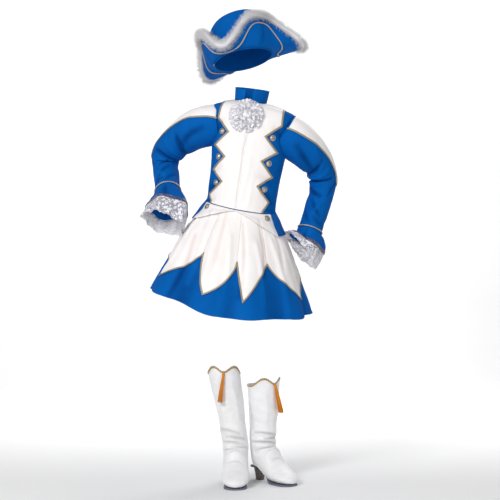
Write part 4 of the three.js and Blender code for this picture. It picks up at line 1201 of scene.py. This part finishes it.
def make_block_material(name, base, scale, rough):
    """Sole and heel: stacked layers with scuffs."""
    look = Look(name, {"Specular IOR Level": 0.5})
    waves = {"Vector": look.place, "Scale": 60.0, "Distortion": 0.6}
    layers = look.add("TexWave", waves, bands_direction="Z")["Fac"]
    scuffs = look.mottle(look.place, scale)
    lighter = [min(1, channel * 1.9 + 0.02) for channel in base]
    look.colour(look.maths("MULTIPLY", scuffs, look.halved(layers)), base, lighter)
    look.rough(scuffs, *rough)
    look.relief((layers, 0.0003, 0.4))


def make_heading_material(base):
    """Small shining scales over the lace."""
    look = Look("lace heading", {"Specular IOR Level": 0.8})
    scales = look.cells(look.pattern, 320.0, 0.5, "F1")
    look.colour(look.maths("GREATER_THAN", scales, 0.68), base, (0.45, 0.43, 0.52))
    look.rough(scales, 0.2, 0.6)
    look.relief((scales, 0.001, 0.6))


def make_floor_material():
    look = Look("pale floor", {"Roughness": 0.9, "Specular IOR Level": 0.1})
    look.colour(look.mottle(look.place, 0.8), (0.90, 0.90, 0.90), (0.88, 0.88, 0.88))


# Operators


class COSTUME_OT_materials(bpy.types.Operator):
    """Makes the materials of the costume"""

    bl_idname = "costume.materials"
    bl_label = "Materials"

    def execute(self, context):
        colours = context.scene.costume_colours
        sizes = context.scene.costume_sizes
        build_effects()
        make_cloth_material(
            "blue cloth", colours.blue, colours.blue_painted_shade, 1400.0, (0.66, 0.82), 0.0, 0.04, (11, 11, 11)
        )
        make_cloth_material(
            "white satin", colours.satin, colours.satin_painted_shade, 2200.0, (0.36, 0.52), 0.1, 0.3, (26, 26, 5)
        )
        make_leather_material(colours.leather)
        make_lace_material(colours.lace, sizes.hole)
        make_braid_material("antique braid", colours.braid, sizes.braid_pitch, 0.35)
        make_braid_material("gold cord", colours.cord, sizes.cord_pitch, 0.4)
        make_braid_material("boot silver", colours.boot_silver, sizes.cord_pitch, 0.4)
        make_braid_material("boot gold", colours.boot_gold, sizes.cord_pitch, 0.3)
        make_strand_material("feather fur", colours.fur_root_shade, colours.fur, (0.75, 0.95), 0.9)
        dark_silk = shaded(colours.tassel, 0.45)
        make_strand_material("silk tassel", dark_silk, colours.tassel, (0.35, 0.55), 0.3)
        make_metal_material(colours.button)
        make_block_material("stacked sole", colours.sole, 60.0, (0.45, 0.7))
        make_block_material("heel block", colours.heel, 90.0, (0.3, 0.5))
        make_heading_material(colours.heading)
        make_floor_material()
        return {"FINISHED"}


class COSTUME_OT_hat(bpy.types.Operator):
    """Makes the hat's crown, its turned-up brim, the fur on its edge and its cord"""

    bl_idname = "costume.hat"
    bl_label = "Hat"

    def execute(self, context):
        crown, size = sheet_on(CROWN, span(-180, 180, 0, 1), 96, 40, ring=True)
        fill_holes(crown, lambda spot: spot.z > 100)
        cloth_piece("hat_crown_cloth", (crown, size), BLUE, ["hat_crown"], HAT)
        cord = self.cord()
        brim = sheet_on(BRIM, span(-180, 180, -0.02, 1), 192, 30, ring=True)
        cloth_piece("hat_brim_cloth", brim, BLUE, ["hat_brim"], HAT)
        self.fur(context.scene.costume_sizes.fur_barbs)
        return {"FINISHED"}

    def cord(self):
        us = np.linspace(-180, 180, 361)
        vs = mix(0.87, 0.12, np.abs(np.cos(np.radians(1.5 * us))) ** 3)
        bm = trim_on(BRIM, us, vs, 1.6, twisted_cord(2.0, 2.0, sized("cord_pitch")), closed=True)
        return finish_piece("hat_cord_twist", bm, CORD, ["hat_cord"], HAT)

    def fur(self, count):
        """Barbs that stand out on all sides of a soft core, which runs just past the brim's edge."""
        us = np.linspace(-180, 180, 361)[:-1]
        edge = brim_point(us, 1.0)
        beyond = unit(edge - brim_point(us, 0.6))
        middle = edge + beyond * (FUR_RADIUS - 7)
        along = unit(np.roll(middle, -1, 0) - np.roll(middle, 1, 0))
        outs = unit(np.cross(along, beyond))
        core = swept(middle, outs, plain_tube(FUR_CORE, 0.0), 8, closed=True)
        barb, run = self.barb(sized("fur_length"))
        picker = random.Random(7)
        matrices, facing = [], []
        for _ in range(count):
            i = picker.randrange(len(us))
            turn = picker.uniform(0, 2 * math.pi)
            away = math.cos(turn) * beyond[i] + math.sin(turn) * outs[i]
            lean = picker.gauss(0, 0.45)
            direction = unit(away + along[i] * lean + np.array([picker.gauss(0, 0.25) for _ in range(3)]))
            side = unit(np.cross(direction, along[i] + 0.3 * away))
            third = np.cross(direction, side)
            size = picker.uniform(0.62, 1.0)
            spin = picker.uniform(0, 2 * math.pi)
            a = math.cos(spin) * side + math.sin(spin) * third
            b = np.cross(direction, a)
            matrix = np.eye(4)
            matrix[:3, 0], matrix[:3, 1], matrix[:3, 2] = a * size, b * size, direction * size
            matrix[:3, 3] = middle[i] + away * 5.5 + along[i] * picker.uniform(-2, 2)
            matrices.append(matrix)
            facing.append(unit(away + 0.5 * direction))
        barbs = copies(barb, matrices)
        each = len(barb.verts)
        barb.free()
        set_pattern(barbs, barbs.loops.layers.uv.new("UVMap"), lambda vert: (0.5, run[vert.index % each]))
        # The core sits low on the run, so it takes much of the roots' painted shade
        set_pattern(core, core.loops.layers.uv.active, lambda vert: (0.5, 0.2))
        core.normal_update()
        normals = [v.normal[:] for v in core.verts] + [tuple(n) for n in facing for _ in range(each)]
        finish_piece("hat_fur_edge", joined([core, barbs]), FUR, ["hat_fur"], HAT, normals=normals)

    def barb(self, length):
        """One bent, tapered barb, with the run from its root of each vertex."""
        bm = bmesh.new()
        half_way = Matrix.Translation((0, 0, length / 2))
        bmesh.ops.create_cone(bm, segments=3, radius1=0.5, radius2=0.12, depth=length, matrix=half_way)
        standing = [e for e in bm.edges if abs(e.verts[0].co.z - e.verts[1].co.z) > length / 2]
        bmesh.ops.subdivide_edges(bm, edges=standing, cuts=1, use_grid_fill=True)
        bm.verts.index_update()
        run = [v.co.z / length for v in bm.verts]
        for vert in bm.verts:
            vert.co.x += 0.22 * length * (vert.co.z / length) ** 2
        return bm, run


class COSTUME_OT_jacket(bpy.types.Operator):
    """Makes the jacket's back and fronts, its stand collar and its waistband"""

    bl_idname = "costume.jacket"
    bl_label = "Jacket"

    def execute(self, context):
        pieces = (
            ("jacket_back_cloth", (90.1, 269.9), "jacket_back", 110),
            ("jacket_front_cloth_right", (-89.9, -0.1), "jacket_front_right", 56),
            ("jacket_front_cloth_left", (0.1, 89.9), "jacket_front_left", 56),
        )
        for name, (u1, u2), node, columns in pieces:
            bm, size = sheet_on(BODY, span(u1, u2, 0, 1), columns, 110)
            points = np.array([v.co for v in bm.verts])
            within = inside_sleeve("right", points) | inside_sleeve("left", points)
            cut = [v for v, inside in zip(bm.verts, within) if inside]
            bmesh.ops.delete(bm, geom=cut, context="VERTS")
            cloth_piece(name, (bm, size), BLUE, [node])
        band = sheet_on(BODY, span(-180, 180, 0, WAISTBAND_TOP), 120, 6, lift=-CLOTH - 0.3, ring=True)
        cloth_piece("waistband_cloth", band, LINING, ["waistband"])
        self.collar()
        return {"FINISHED"}

    def collar(self):
        height, opening = 42, 13
        neck_z, across, deep, shift, _ = BODY_SECTIONS[-1]

        def point(angle, place):
            angle, place = as_arrays(angle, place)
            flare = 1 + 0.07 * place
            turn = np.radians(angle)
            y = -deep * flare * np.cos(turn)
            z = neck_z + y * WAIST_SLOPE + 1.8 + height * place
            return np.stack([shift + across * flare * np.sin(turn), y, z], -1)

        for side, sign in SIDES:
            made = sheet_on(Surface(point, 1), span(sign * opening, sign * 179.7, 0, 1), 48, 10)
            cloth_piece(f"collar_cloth_{side}", made, BLUE, [f"collar_{side}"])


# The white front: its saw-toothed edge, by distance from the middle and height
FRONT_EDGE = [
    (96, 60),
    (106, -12),
    (108, -48),
    (63, -93),
    (106, -139),
    (63, -176),
    (101, -222),
    (61, -260),
    (101, -306),
    (76, -372),
]
BUTTON_SPOTS = ((86, -93), (86, -179), (84, -266))
BUTTON_RADIUS = 10.5


def front_edge_at(z):
    """How far the white front reaches from the middle, at a height."""
    heights = [spot for _, spot in FRONT_EDGE][::-1]
    return np.interp(z, heights, [reach for reach, _ in FRONT_EDGE][::-1])


def edge_angle(sign, place):
    """The angle of the white front's edge at a place between waist and neck."""
    angle = np.full(np.shape(place), sign * 50.0)
    for _ in range(12):
        z = body_point(angle, place)[..., 2]
        angle = mix(angle, angle_across(sign * front_edge_at(z), place), 0.7)
    return angle


def front_places(sign):
    """Places from the waist to the neck, with one at each corner of the saw teeth."""
    corners = [body_place(sign * x, z)[1] for x, z in FRONT_EDGE[1:-1]]
    stops = [0.0, *sorted(float(c) for c in corners), 1.0]
    return np.concatenate([np.linspace(a, b, 13)[:-1] for a, b in zip(stops, stops[1:])] + [[1.0]])


class COSTUME_OT_front(bpy.types.Operator):
    """Makes the white satin front, the braid on its saw-toothed edges, its placket and the buttons"""

    bl_idname = "costume.front"
    bl_label = "White front"

    def execute(self, context):
        for side, sign in SIDES:
            self.satin(side, sign)
            self.buttons(side, sign)
        self.placket()
        return {"FINISHED"}

    def satin(self, side, sign):
        places = front_places(sign)
        angles = edge_angle(sign, places)
        middle = angle_across(np.full(places.shape, sign * 0.15), places)
        rows = np.arange(len(places))

        def pattern(s, t):
            inner, outer, v = (np.interp(t * rows[-1], rows, column) for column in (middle, angles, places))
            return mix(inner, outer, s), v

        keep = places < 0.985
        profile = flat_braid(FRONT_BRAID, ON_SATIN, ON_SATIN + BRAID, sized("braid_pitch"))
        braid = trim_on(BODY, angles[keep], places[keep], 1.1, profile)
        trim = finish_piece(f"front_braid_{side}", braid, ANTIQUE_BRAID, [f"braid_front_{side}"])
        made = sheet_on(BODY, pattern, 34, len(places) - 1, lift=ON_CLOTH + SATIN)
        cloth_piece(
            f"white_front_{side}", made, WHITE, [f"plastron_{side}"],
            thick=SATIN,
        )

    def placket(self):
        """A raised line on each side of the closing."""
        places = np.linspace(0.002, 0.9, 120)
        profile = flat_braid(1.6, 1.4, 3.1, PLAIN)
        lines = []
        for x in (-4.5, 4.5):
            angles = angle_across(np.full(places.shape, x), places)
            lines.append(trim_on(BODY, angles, places, 2.5, profile, sides=6))
        finish_piece("front_placket", joined(lines), WHITE)

    def buttons(self, side, sign):
        angles, places = body_place(*np.array([(sign * x, z) for x, z in BUTTON_SPOTS], float).T)
        spots = list(zip(BODY.at(angles, places, 0.2), BODY.out(angles, places)))
        on_skirt = (np.array([sign * 54.0]), np.array([0.06]))
        spots.append((SKIRT.at(*on_skirt, ON_SKIRT + CLOTH - 0.1)[0], SKIRT.out(*on_skirt)[0]))
        made = [self.button(spot, out) for spot, out in spots]
        nodes = [f"button_{side}_{i}" for i in range(1, 5)]
        finish_piece(f"buttons_{side}", joined(made), METAL, nodes)

    def button(self, spot, out):
        """A domed button: a rolled rim, a hollow ring and a dome with a small boss."""
        r = BUTTON_RADIUS
        profile = [(0, 0), (r - 0.6, 0), (r, 0.7), (r - 0.1, 1.9), (r - 0.8, 2.5), (r - 1.8, 2.3)]
        profile += [(r - 2.4, 1.9), (r - 3.2, 2.9), (r - 5.0, 4.3), (r - 7.0, 5.3), (r - 8.2, 5.5)]
        profile += [(r - 8.6, 6.0), (0, 6.3)]
        bm = bmesh.new()
        verts = [bm.verts.new((x, 0, z)) for x, z in profile]
        edges = [bm.edges.new(pair) for pair in zip(verts, verts[1:])]
        bmesh.ops.spin(
            bm, geom=verts + edges, cent=(0, 0, 0), axis=(0, 0, 1), angle=2 * math.pi, steps=28,
            use_merge=True,
        )
        bmesh.ops.remove_doubles(bm, verts=bm.verts, dist=SAME_SPOT)
        bmesh.ops.recalc_face_normals(bm, faces=bm.faces)
        turn = Vector((0, 0, 1)).rotation_difference(Vector(out)).to_matrix().to_4x4()
        bmesh.ops.transform(bm, matrix=Matrix.Translation(Vector(spot)) @ turn, verts=bm.verts)
        return bm


SHOULDER_TIP = 4.35 / ARM_STEPS
SHOULDER_HALF = 78


def shoulder_half(place):
    """Half the width of a shoulder petal in degrees, at a place along the arm."""
    return SHOULDER_HALF * np.clip(1 - place / SHOULDER_TIP, 0, 1) ** 0.62


class COSTUME_OT_sleeves(bpy.types.Operator):
    """Makes the sleeves with their satin petals, the corded wrists, the bell cuffs and the lace frills"""

    bl_idname = "costume.sleeves"
    bl_label = "Sleeves"

    def execute(self, context):
        for side, _ in SIDES:
            self.sleeve(side)
            self.petal(side)
            self.cuff(side)
        return {"FINISHED"}

    def sleeve(self, side):
        def pattern(s, t):
            u = mix(-180, 180, s)
            return u, mix(armhole(side, u) - SLEEVE_TUCK, CUFF_STARTS, t)

        made = sheet_on(SLEEVES[side], pattern, 96, 130, ring=True)
        cloth_piece(f"sleeve_cloth_{side}", made, BLUE, [f"sleeve_{side}"])

    def petal(self, side):
        def pattern(s, t):
            across = mix(-1, 1, s)
            start = np.full(np.shape(s), 0.1)
            for _ in range(8):
                start = armhole(side, across * shoulder_half(start))
            v = mix(start, SHOULDER_TIP * 0.998, t**0.9)
            return across * shoulder_half(v), v

        t = np.linspace(0, 1, 60)
        down, back = pattern(np.zeros(60), t), pattern(np.ones(60), t[::-1])
        us, vs = (np.append(first, second[1:]) for first, second in zip(down, back))
        profile = flat_braid(SHOULDER_BRAID, ON_SATIN, ON_SATIN + BRAID, sized("braid_pitch"))
        braid = trim_on(SLEEVES[side], us, vs, 1.1, profile)
        trim = finish_piece(f"shoulder_braid_{side}", braid, ANTIQUE_BRAID, [f"sleeve_braid_{side}"])
        made = sheet_on(SLEEVES[side], pattern, 30, 60, lift=ON_CLOTH + SATIN)
        cloth_piece(
            f"shoulder_petal_{side}", made, WHITE, [f"sleeve_petal_{side}"],
            thick=SATIN,
        )

    def cuff(self, side):
        around = np.linspace(-180, 180, 181)
        profile = twisted_cord(2.1, 1.6, sized("cord_pitch"))
        cord = trim_on(SLEEVES[side], around, np.full(181, CUFF_STARTS - 0.004), 1.3, profile, closed=True)
        piping = finish_piece(f"wrist_cord_{side}", cord, CORD, [f"cuff_piping_{side}"])
        cloth = span(-180, 180, CUFF_STARTS + 0.0018, LACE_STARTS + 0.004)
        cuff = sheet_on(SLEEVES[side], cloth, 180, 36, ring=True)
        heading = self.heading(side)
        cloth_piece(
            f"cuff_cloth_{side}", cuff, BLUE, [f"cuff_{side}"],
        )

        def scalloped(s, t):
            u = mix(-180, 180, s)
            edge = 1 - 0.012 * np.abs(np.sin(np.radians(15 * u)))
            return u, mix(LACE_STARTS - 0.004, edge, t)

        lace = sheet_on(SLEEVES[side], scalloped, 240, 30, lift=-0.2, ring=True)
        cloth_piece(
            f"cuff_lace_frill_{side}", lace, LACE, [f"cuff_lace_{side}"],
            thick=0.5,
        )

    def heading(self, side):
        """The dark shining band where the lace is sewn to the cuff."""
        around = np.linspace(-180, 180, 241)
        profile = flat_braid(HEADING_WIDTH, 0.2, 1.8, 4.0)
        band = trim_on(SLEEVES[side], around, np.full(241, LACE_STARTS + 0.005), 1.6, profile, closed=True)
        return finish_piece(f"lace_heading_{side}", band, HEADING)


# The jabot's frills: radius, waves and their height, distance from the knot's back, inner edge
JABOT_ROUNDS = ((57, 9, 4.5, 3, 0.5), (45, 8, 4.0, 9, 0.45), (33, 7, 3.6, 14, 0.35), (20, 6, 3, 19, 0.2))


class COSTUME_OT_jabot(bpy.types.Operator):
    """Makes the jabot: rounds of frilled lace on one knot"""

    bl_idname = "costume.jabot"
    bl_label = "Jabot"

    def execute(self, context):
        angle, place = body_place(np.array([-11.0]), np.array([-34.0]))
        spot = body_point(angle, place)[0]
        tilt = math.radians(8)
        out = np.array([0, -math.cos(tilt), math.sin(tilt)])
        up = np.array([0, math.sin(tilt), math.cos(tilt)])
        rounds = [self.frill(spot, out, up, *sizes) for sizes in JABOT_ROUNDS]
        area = sum(cloth_area(frill) for frill in rounds)
        knot = bmesh.new()
        bmesh.ops.create_uvsphere(knot, u_segments=20, v_segments=12, radius=9)
        basis = Matrix((Vector((1, 0, 0)), Vector(up), Vector(out))).transposed().to_4x4()
        middle = Matrix.Translation(Vector(spot + out * 24))
        squash = Matrix.Diagonal((1, 1, 0.7, 1))
        bmesh.ops.transform(knot, matrix=middle @ basis @ squash, verts=knot.verts)
        centre = finish_piece("jabot_knot", knot, KNOT)
        lace = finish_piece("jabot_lace", joined(rounds), LACE, ["jabot"], thick=0.5)
        return {"FINISHED"}

    def frill(self, spot, out, up, radius, waves, wave, height, start):
        def place(s, t):
            turn = 2 * math.pi * s
            edge = 1 + 0.045 * np.abs(np.sin(waves * 1.5 * turn)) * smooth(t, 0.8, 1)
            reach = radius * mix(start * 0.3, 1, t) * edge
            lift = 9 + height + wave * t * np.cos(waves * turn + radius) - 6 * t * t
            across = (reach * np.sin(turn))[:, None] * np.array([1.0, 0, 0])
            return spot + across + (reach * np.cos(turn))[:, None] * up + lift[:, None] * out

        bm, _ = laid_grid(180, 20, place, ring=True)
        face_towards(bm, Vector(out))
        return bm


# Petals of the skirt: the angles where each starts, points and ends, and how full its sides are
PETALS = [
    (-95, -62, -24, 0.75),
    (-24, -12, 11, 0.62),
    (11, 18, 42, 1.1),
    (42, 80, 105, 0.8),
    (105, 125, 145, 0.75),
    (145, 165, 185, 0.75),
    (185, 205, 225, 0.75),
    (225, 245, 265, 0.75),
]
PETAL_TOP = 0.012
PETAL_VALLEY = 0.48
PETAL_TIP = 0.835


def petal_edge(petal, angle):
    start, tip, end, bulge = petal
    t = np.where(angle < tip, (angle - start) / (tip - start), (angle - end) / (tip - end))
    return mix(PETAL_VALLEY, PETAL_TIP, np.clip(t, 0, 1) ** bulge)


class COSTUME_OT_skirt(bpy.types.Operator):
    """Makes the skirt's front and back, its white satin petals and the braid along their edges"""

    bl_idname = "costume.skirt"
    bl_label = "Skirt"

    def execute(self, context):
        for half, u1, u2 in (("front", -89.96, 89.96), ("back", 90.04, 269.96)):
            made = sheet_on(SKIRT, span(u1, u2, 0, 1), 150, 72)
            cloth_piece(f"skirt_cloth_{half}", made, BLUE, [f"skirt_{half}"])
        self.hem()
        for i, petal in enumerate(PETALS, 1):
            self.petal(i, petal)
        self.braid()
        return {"FINISHED"}

    def petal(self, i, petal):
        start, tip, end, _ = petal

        def pattern(s, t):
            u = np.where(s < 0.5, mix(start, tip, s * 2), mix(tip, end, s * 2 - 1))
            return u, mix(PETAL_TOP, petal_edge(petal, u), t)

        def pillow(s, t):
            return 4 * np.sin(math.pi * s) ** 0.7 * np.sin(math.pi * t**0.8)

        made = sheet_on(SKIRT, pattern, 48, 60, lift=ON_CLOTH + SATIN, swell=pillow)
        cloth_piece(f"petal_satin_{i}", made, WHITE, [f"petal_{i}"], thick=SATIN)

    def braid(self):
        us, vs = [], []
        for petal in PETALS:
            start, tip, end, _ = petal
            for a, b in ((start, tip), (tip, end)):
                u = np.linspace(a, b, 25)[:-1]
                us.append(u)
                vs.append(petal_edge(petal, u))
        us, vs = np.concatenate(us), np.concatenate(vs)
        us, vs = np.append(us, us[0] + 360), np.append(vs, vs[0])
        low = ON_SATIN + 0.2
        profile = flat_braid(PETAL_BRAID, low, low + BRAID + 0.6, sized("braid_pitch"))
        bm = trim_on(SKIRT, us, vs, 1.5, profile, closed=True)
        finish_piece("petal_braid_trim", bm, ANTIQUE_BRAID, ["petal_braid"])

    def hem(self):
        """The rolled hem."""
        profile = flat_braid(3.4, -2.2, 0.7, PLAIN)
        roll = trim_on(SKIRT, np.linspace(-180, 180, 361), np.full(361, 0.994), 2.5, profile, closed=True)
        finish_piece("skirt_hem_roll", roll, BLUE)


TURNBACK_TOP = 0.022
TURNBACK_INNER = 1.5
TURNBACK_CORNER = 65


def turnback_reach(angle):
    t = np.clip((np.abs(angle) - TURNBACK_INNER) / (TURNBACK_CORNER - TURNBACK_INNER), 0, 1)
    return mix(0.035, 0.235, t**1.3)


class COSTUME_OT_waist(bpy.types.Operator):
    """Makes the white points turned back at the waist and the blue tail behind"""

    bl_idname = "costume.waist"
    bl_label = "Waist"

    def execute(self, context):
        for side, sign in SIDES:
            self.turnback(side, sign)
        tail = sheet_on(
            SKIRT, span(65.3, 294.7, 0.004, 0.22), 150, 24, lift=ON_SKIRT + CLOTH,
            swell=lambda s, t: 5 * smooth(t, 0, 0.5),
        )
        cloth_piece("tail_cloth", tail, BLUE, ["jacket_tail"])
        return {"FINISHED"}

    def turnback(self, side, sign):
        def pattern(s, t):
            u = sign * mix(TURNBACK_INNER, TURNBACK_CORNER, s)
            return u, mix(TURNBACK_TOP, turnback_reach(u), t)

        def swell(s, t):
            return 5 * smooth(t, 0.25, 0.8) + 3 * t**2 * smooth(s, 0, 0.3)

        made = sheet_on(SKIRT, pattern, 60, 22, lift=ON_SKIRT + CLOTH, swell=swell)
        cloth_piece(f"turnback_satin_{side}", made, WHITE, [f"turnback_{side}"])


class COSTUME_OT_boots(bpy.types.Operator):
    """Makes the boots: leather uppers, soles, heels, braided tops and tassels"""

    bl_idname = "costume.boots"
    bl_label = "Boots"

    def execute(self, context):
        for side, kind in BOOTS.items():
            group = Matrix.Translation((kind["x"], kind["y"], FLOOR)) @ turned(kind["turn"], "Z")
            upper, _ = sheet_on(LEATHER[side], span(-180, 180, 0, 1), 88, 190, ring=True)
            fill_holes(upper, lambda spot: spot.y < -140)
            ripple(upper, 0.05, 0.9, len(side))
            ripple(upper, 0.15, 0.35, len(side))
            finish_piece(f"boot_leather_{side}", upper, LEATHERED, [f"boot_{side}_upper"], group, CLOTH)
            self.seams(side, group)
            self.braid(side, group)
            self.sole(side, group)
            self.heel(side, group)
            self.tassel(side, kind, group)
        return {"FINISHED"}

    def seams(self, side, group):
        """The seam down each side of the shaft."""
        places = np.linspace(0.03, 0.5, 120)
        lines = [
            trim_on(LEATHER[side], np.full(120, angle), places, 2.5, plain_tube(0.7, 0.1), sides=6)
            for angle in (92.0, -92.0)
        ]
        finish_piece(f"boot_seams_{side}", joined(lines), LEATHERED, group=group)

    def braid(self, side, group):
        """The gold line and the silver braid along the top edge."""
        around = np.linspace(-180, 180, 241)
        for name, place, width, look, nodes in (
            ("cord", 0.0115, 4.2, BOOT_GOLD, []),
            ("braid", 0.0018, 3.4, BOOT_SILVER, [f"boot_{side}_braid"]),
        ):
            profile = flat_braid(width, ON_CLOTH, ON_CLOTH + BRAID + 0.4, sized("braid_pitch"))
            band = trim_on(LEATHER[side], around, np.full(241, place), 1.4, profile, closed=True)
            finish_piece(f"boot_top_{name}_{side}", band, look, nodes, group)

    def sole(self, side, group):
        def half(y):
            toe = np.sqrt(np.clip(1 - ((SOLE_TOE - 1 - y) / 42 + 1) ** 2, 0.0005, 1))
            back = np.sqrt(np.clip(1 - ((y - SOLE_BACK + 21) / 22) ** 2, 0.02, 1))
            ends = np.where(y < SOLE_TOE + 41, toe, 1) * np.where(y > SOLE_BACK - 21, back, 1)
            waist = 1 - 0.3 * hill(y, -30, 34)
            return SOLE_HALF * ends * waist * mix(1, 0.88, smooth(y, -75, -50))

        def place(s, t):
            y = mix(SOLE_TOE + 0.3, SOLE_BACK, t)
            return np.stack([mix(-1, 1, s) * half(y), y, sole_height(y) + SOLE_THICK], -1)

        bm, _ = laid_grid(16, 90, place)
        face_towards(bm, Vector((0, 0, 1)))
        finish_piece(f"boot_sole_edge_{side}", bm, SOLE, [f"boot_{side}_sole"], group, SOLE_THICK)

    def heel(self, side, group):
        def place(s, t):
            turn = 2 * math.pi * s
            size = mix(0.66, 1, t**1.6) * (1 - 0.05 * hill(t, 0, 0.03))
            x = HEEL_HALF[0] * size * np.sin(turn)
            y = HEEL_MIDDLE - HEEL_HALF[1] * size * np.cos(turn)
            return np.stack([x, y, (HEEL_HEIGHT - 0.3) * t], -1)

        bm, _ = laid_grid(40, 16, place, ring=True)
        fill_holes(bm)
        bmesh.ops.recalc_face_normals(bm, faces=bm.faces)
        finish_piece(f"boot_heel_block_{side}", bm, HEEL, [f"boot_{side}_heel"], group)

    def tassel(self, side, kind, group):
        """Silk strands that hang from a bound head in the notch of the boot's top."""
        length, head, head_length, count = 92, 5.5, 11, 46
        top = boot_point(kind)(np.array([0.0]), np.array([0.0]))[0]
        start = top + np.array([0, -4.9, -4])
        end = start + np.array([kind["hang"][0], -6 - kind["hang"][1], -head_length - length])
        down = Vector(end - start).normalized()
        turn = Vector((0, 0, -1)).rotation_difference(down).to_matrix().to_4x4()
        place = Matrix.Translation(Vector(start)) @ turn
        picker = random.Random(len(side))
        parts = [self.tassel_head(head, head_length)]
        for i in range(count):
            ring = math.sqrt((i + 0.5) / count)
            angle = i * GOLDEN_ANGLE
            away = np.array([math.cos(angle), math.sin(angle), 0])
            root = away * head * 0.7 * ring
            spread = away * (head * 1.5 * ring + 0.6)
            run = length * picker.uniform(0.93, 1)
            sway = np.array([picker.gauss(0, 0.9), picker.gauss(0, 0.9), 0])
            t = np.linspace(0, 1, 14)[:, None]
            line = root * (1 - t) + spread * t + sway * np.sin(math.pi * t)
            line = line + np.array([0, 0, -1]) * (head_length - 2 + run * t)
            outs = np.tile(np.array([1.0, 0, 0]), (14, 1))
            parts.append(swept(line, outs, plain_tube(0.75, 0.0), 5))
        strands = joined(parts)

        def shade_of(vert):
            shade = 0.75 + 0.65 * noise.noise(Vector((vert.co.x * 0.9, vert.co.y * 0.9, 3)))
            return 0.5, min(1, max(0, shade))

        set_pattern(strands, strands.loops.layers.uv.active, shade_of)
        bmesh.ops.transform(strands, matrix=place, verts=strands.verts)
        finish_piece(f"boot_tassel_silk_{side}", strands, SILK, [f"boot_{side}_tassel"], group)

    def tassel_head(self, head, head_length):
        t = np.linspace(0, 1, 24)
        line = np.stack([0 * t, 0 * t, -head_length * t], -1)
        outs = np.tile(np.array([1.0, 0, 0]), (24, 1))

        def profile(turn, run):
            round_top = np.interp(run, [0, 2, 5, 8, 9, 11], [0.4, 0.8, 1, 0.92, 0.78, 0.95])
            radius = head * round_top * (1 + 0.05 * np.cos(run * 4))
            return radius * np.cos(turn), radius * np.sin(turn)

        return swept(line, outs, profile, 16)


class COSTUME_OT_stage(bpy.types.Operator):
    """Makes the floor, the lights and the camera"""

    bl_idname = "costume.stage"
    bl_label = "Stage"

    def execute(self, context):
        self.floor()
        self.lights(context)
        data = bpy.data.cameras.new("camera")
        data.sensor_width = 36
        data.lens = 95.29
        data.clip_end = 50
        camera = bpy.data.objects.new("camera", data)
        camera.location = (-0.017, -4.5, -0.476)
        camera.rotation_euler = (math.pi / 2, 0, 0)
        context.scene.collection.objects.link(camera)
        context.scene.camera = camera
        context.scene.view_settings.view_transform = "Standard"
        return {"FINISHED"}

    def floor(self):
        """A pale floor that curves up into the backdrop, in metres."""
        level, radius, front, back, length = FLOOR * MILLIMETRE, 1.6, 5, 3.2, 12
        quarter = radius * math.pi / 2

        def place(s, t):
            y = t * length - front
            bend = np.clip((y - back) / quarter, 0, 1) * math.pi / 2
            up = np.maximum(0, y - back - quarter)
            ahead = np.minimum(y, back) + radius * np.sin(bend)
            z = level + radius * (1 - np.cos(bend)) + up
            return np.stack([mix(-9, 9, s), ahead, z], -1) / MILLIMETRE

        bm, _ = laid_grid(8, 60, place)
        floor = new_object("floor", bm, Matrix.Identity(4), "pale floor")

    def lights(self, context):
        world = bpy.data.worlds.new("studio")
        world.use_nodes = True
        background = world.node_tree.nodes["Background"]
        background.inputs["Color"].default_value = (1, 1, 1, 1)
        background.inputs["Strength"].default_value = 0.42
        context.scene.world = world
        costume, backdrop = (0, 0, -0.45), (0, 5, 0.3)
        for name, spot, aim, size, power in (
            ("key", (-1.7, -3.2, 1.3), costume, 1.1, 88),
            ("fill", (2.4, -3.2, -0.4), costume, 2.6, 20),
            ("rim", (1.2, 2.2, 1.6), costume, 1.4, 30),
            ("backdrop", (0, 1.4, 1.9), backdrop, 3.0, 110),
        ):
            data = bpy.data.lights.new(name, "AREA")
            data.size = size
            data.energy = power
            lamp = bpy.data.objects.new(name, data)
            lamp.location = spot
            lamp.rotation_euler = (Vector(aim) - Vector(spot)).to_track_quat("-Z", "Y").to_euler()
            context.scene.collection.objects.link(lamp)


OPERATORS = (
    COSTUME_OT_materials,
    COSTUME_OT_jacket,
    COSTUME_OT_front,
    COSTUME_OT_sleeves,
    COSTUME_OT_jabot,
    COSTUME_OT_skirt,
    COSTUME_OT_waist,
    COSTUME_OT_hat,
    COSTUME_OT_boots,
    COSTUME_OT_stage,
)


class COSTUME_PT_panel(bpy.types.Panel):
    """The costume's sizes, colours and pieces"""

    bl_idname = "COSTUME_PT_panel"
    bl_label = "Costume"
    bl_space_type = "VIEW_3D"
    bl_region_type = "UI"
    bl_category = "Costume"

    def draw(self, context):
        column = self.layout.column()
        for group in (context.scene.costume_colours, context.scene.costume_sizes):
            for name in group.__annotations__:
                column.prop(group, name)
        for operator in OPERATORS:
            column.operator(operator.bl_idname)


CLASSES = (CostumeColours, CostumeSizes, *OPERATORS, COSTUME_PT_panel)


def register():
    for each in CLASSES:
        bpy.utils.register_class(each)
    bpy.types.Scene.costume_colours = bpy.props.PointerProperty(type=CostumeColours)
    bpy.types.Scene.costume_sizes = bpy.props.PointerProperty(type=CostumeSizes)


def unregister():
    del bpy.types.Scene.costume_sizes
    del bpy.types.Scene.costume_colours
    for each in reversed(CLASSES):
        bpy.utils.unregister_class(each)


def main():
    register()
    for operator in OPERATORS:
        group, name = operator.bl_idname.split(".")
        getattr(getattr(bpy.ops, group), name)()


if __name__ == "__main__":
    main()
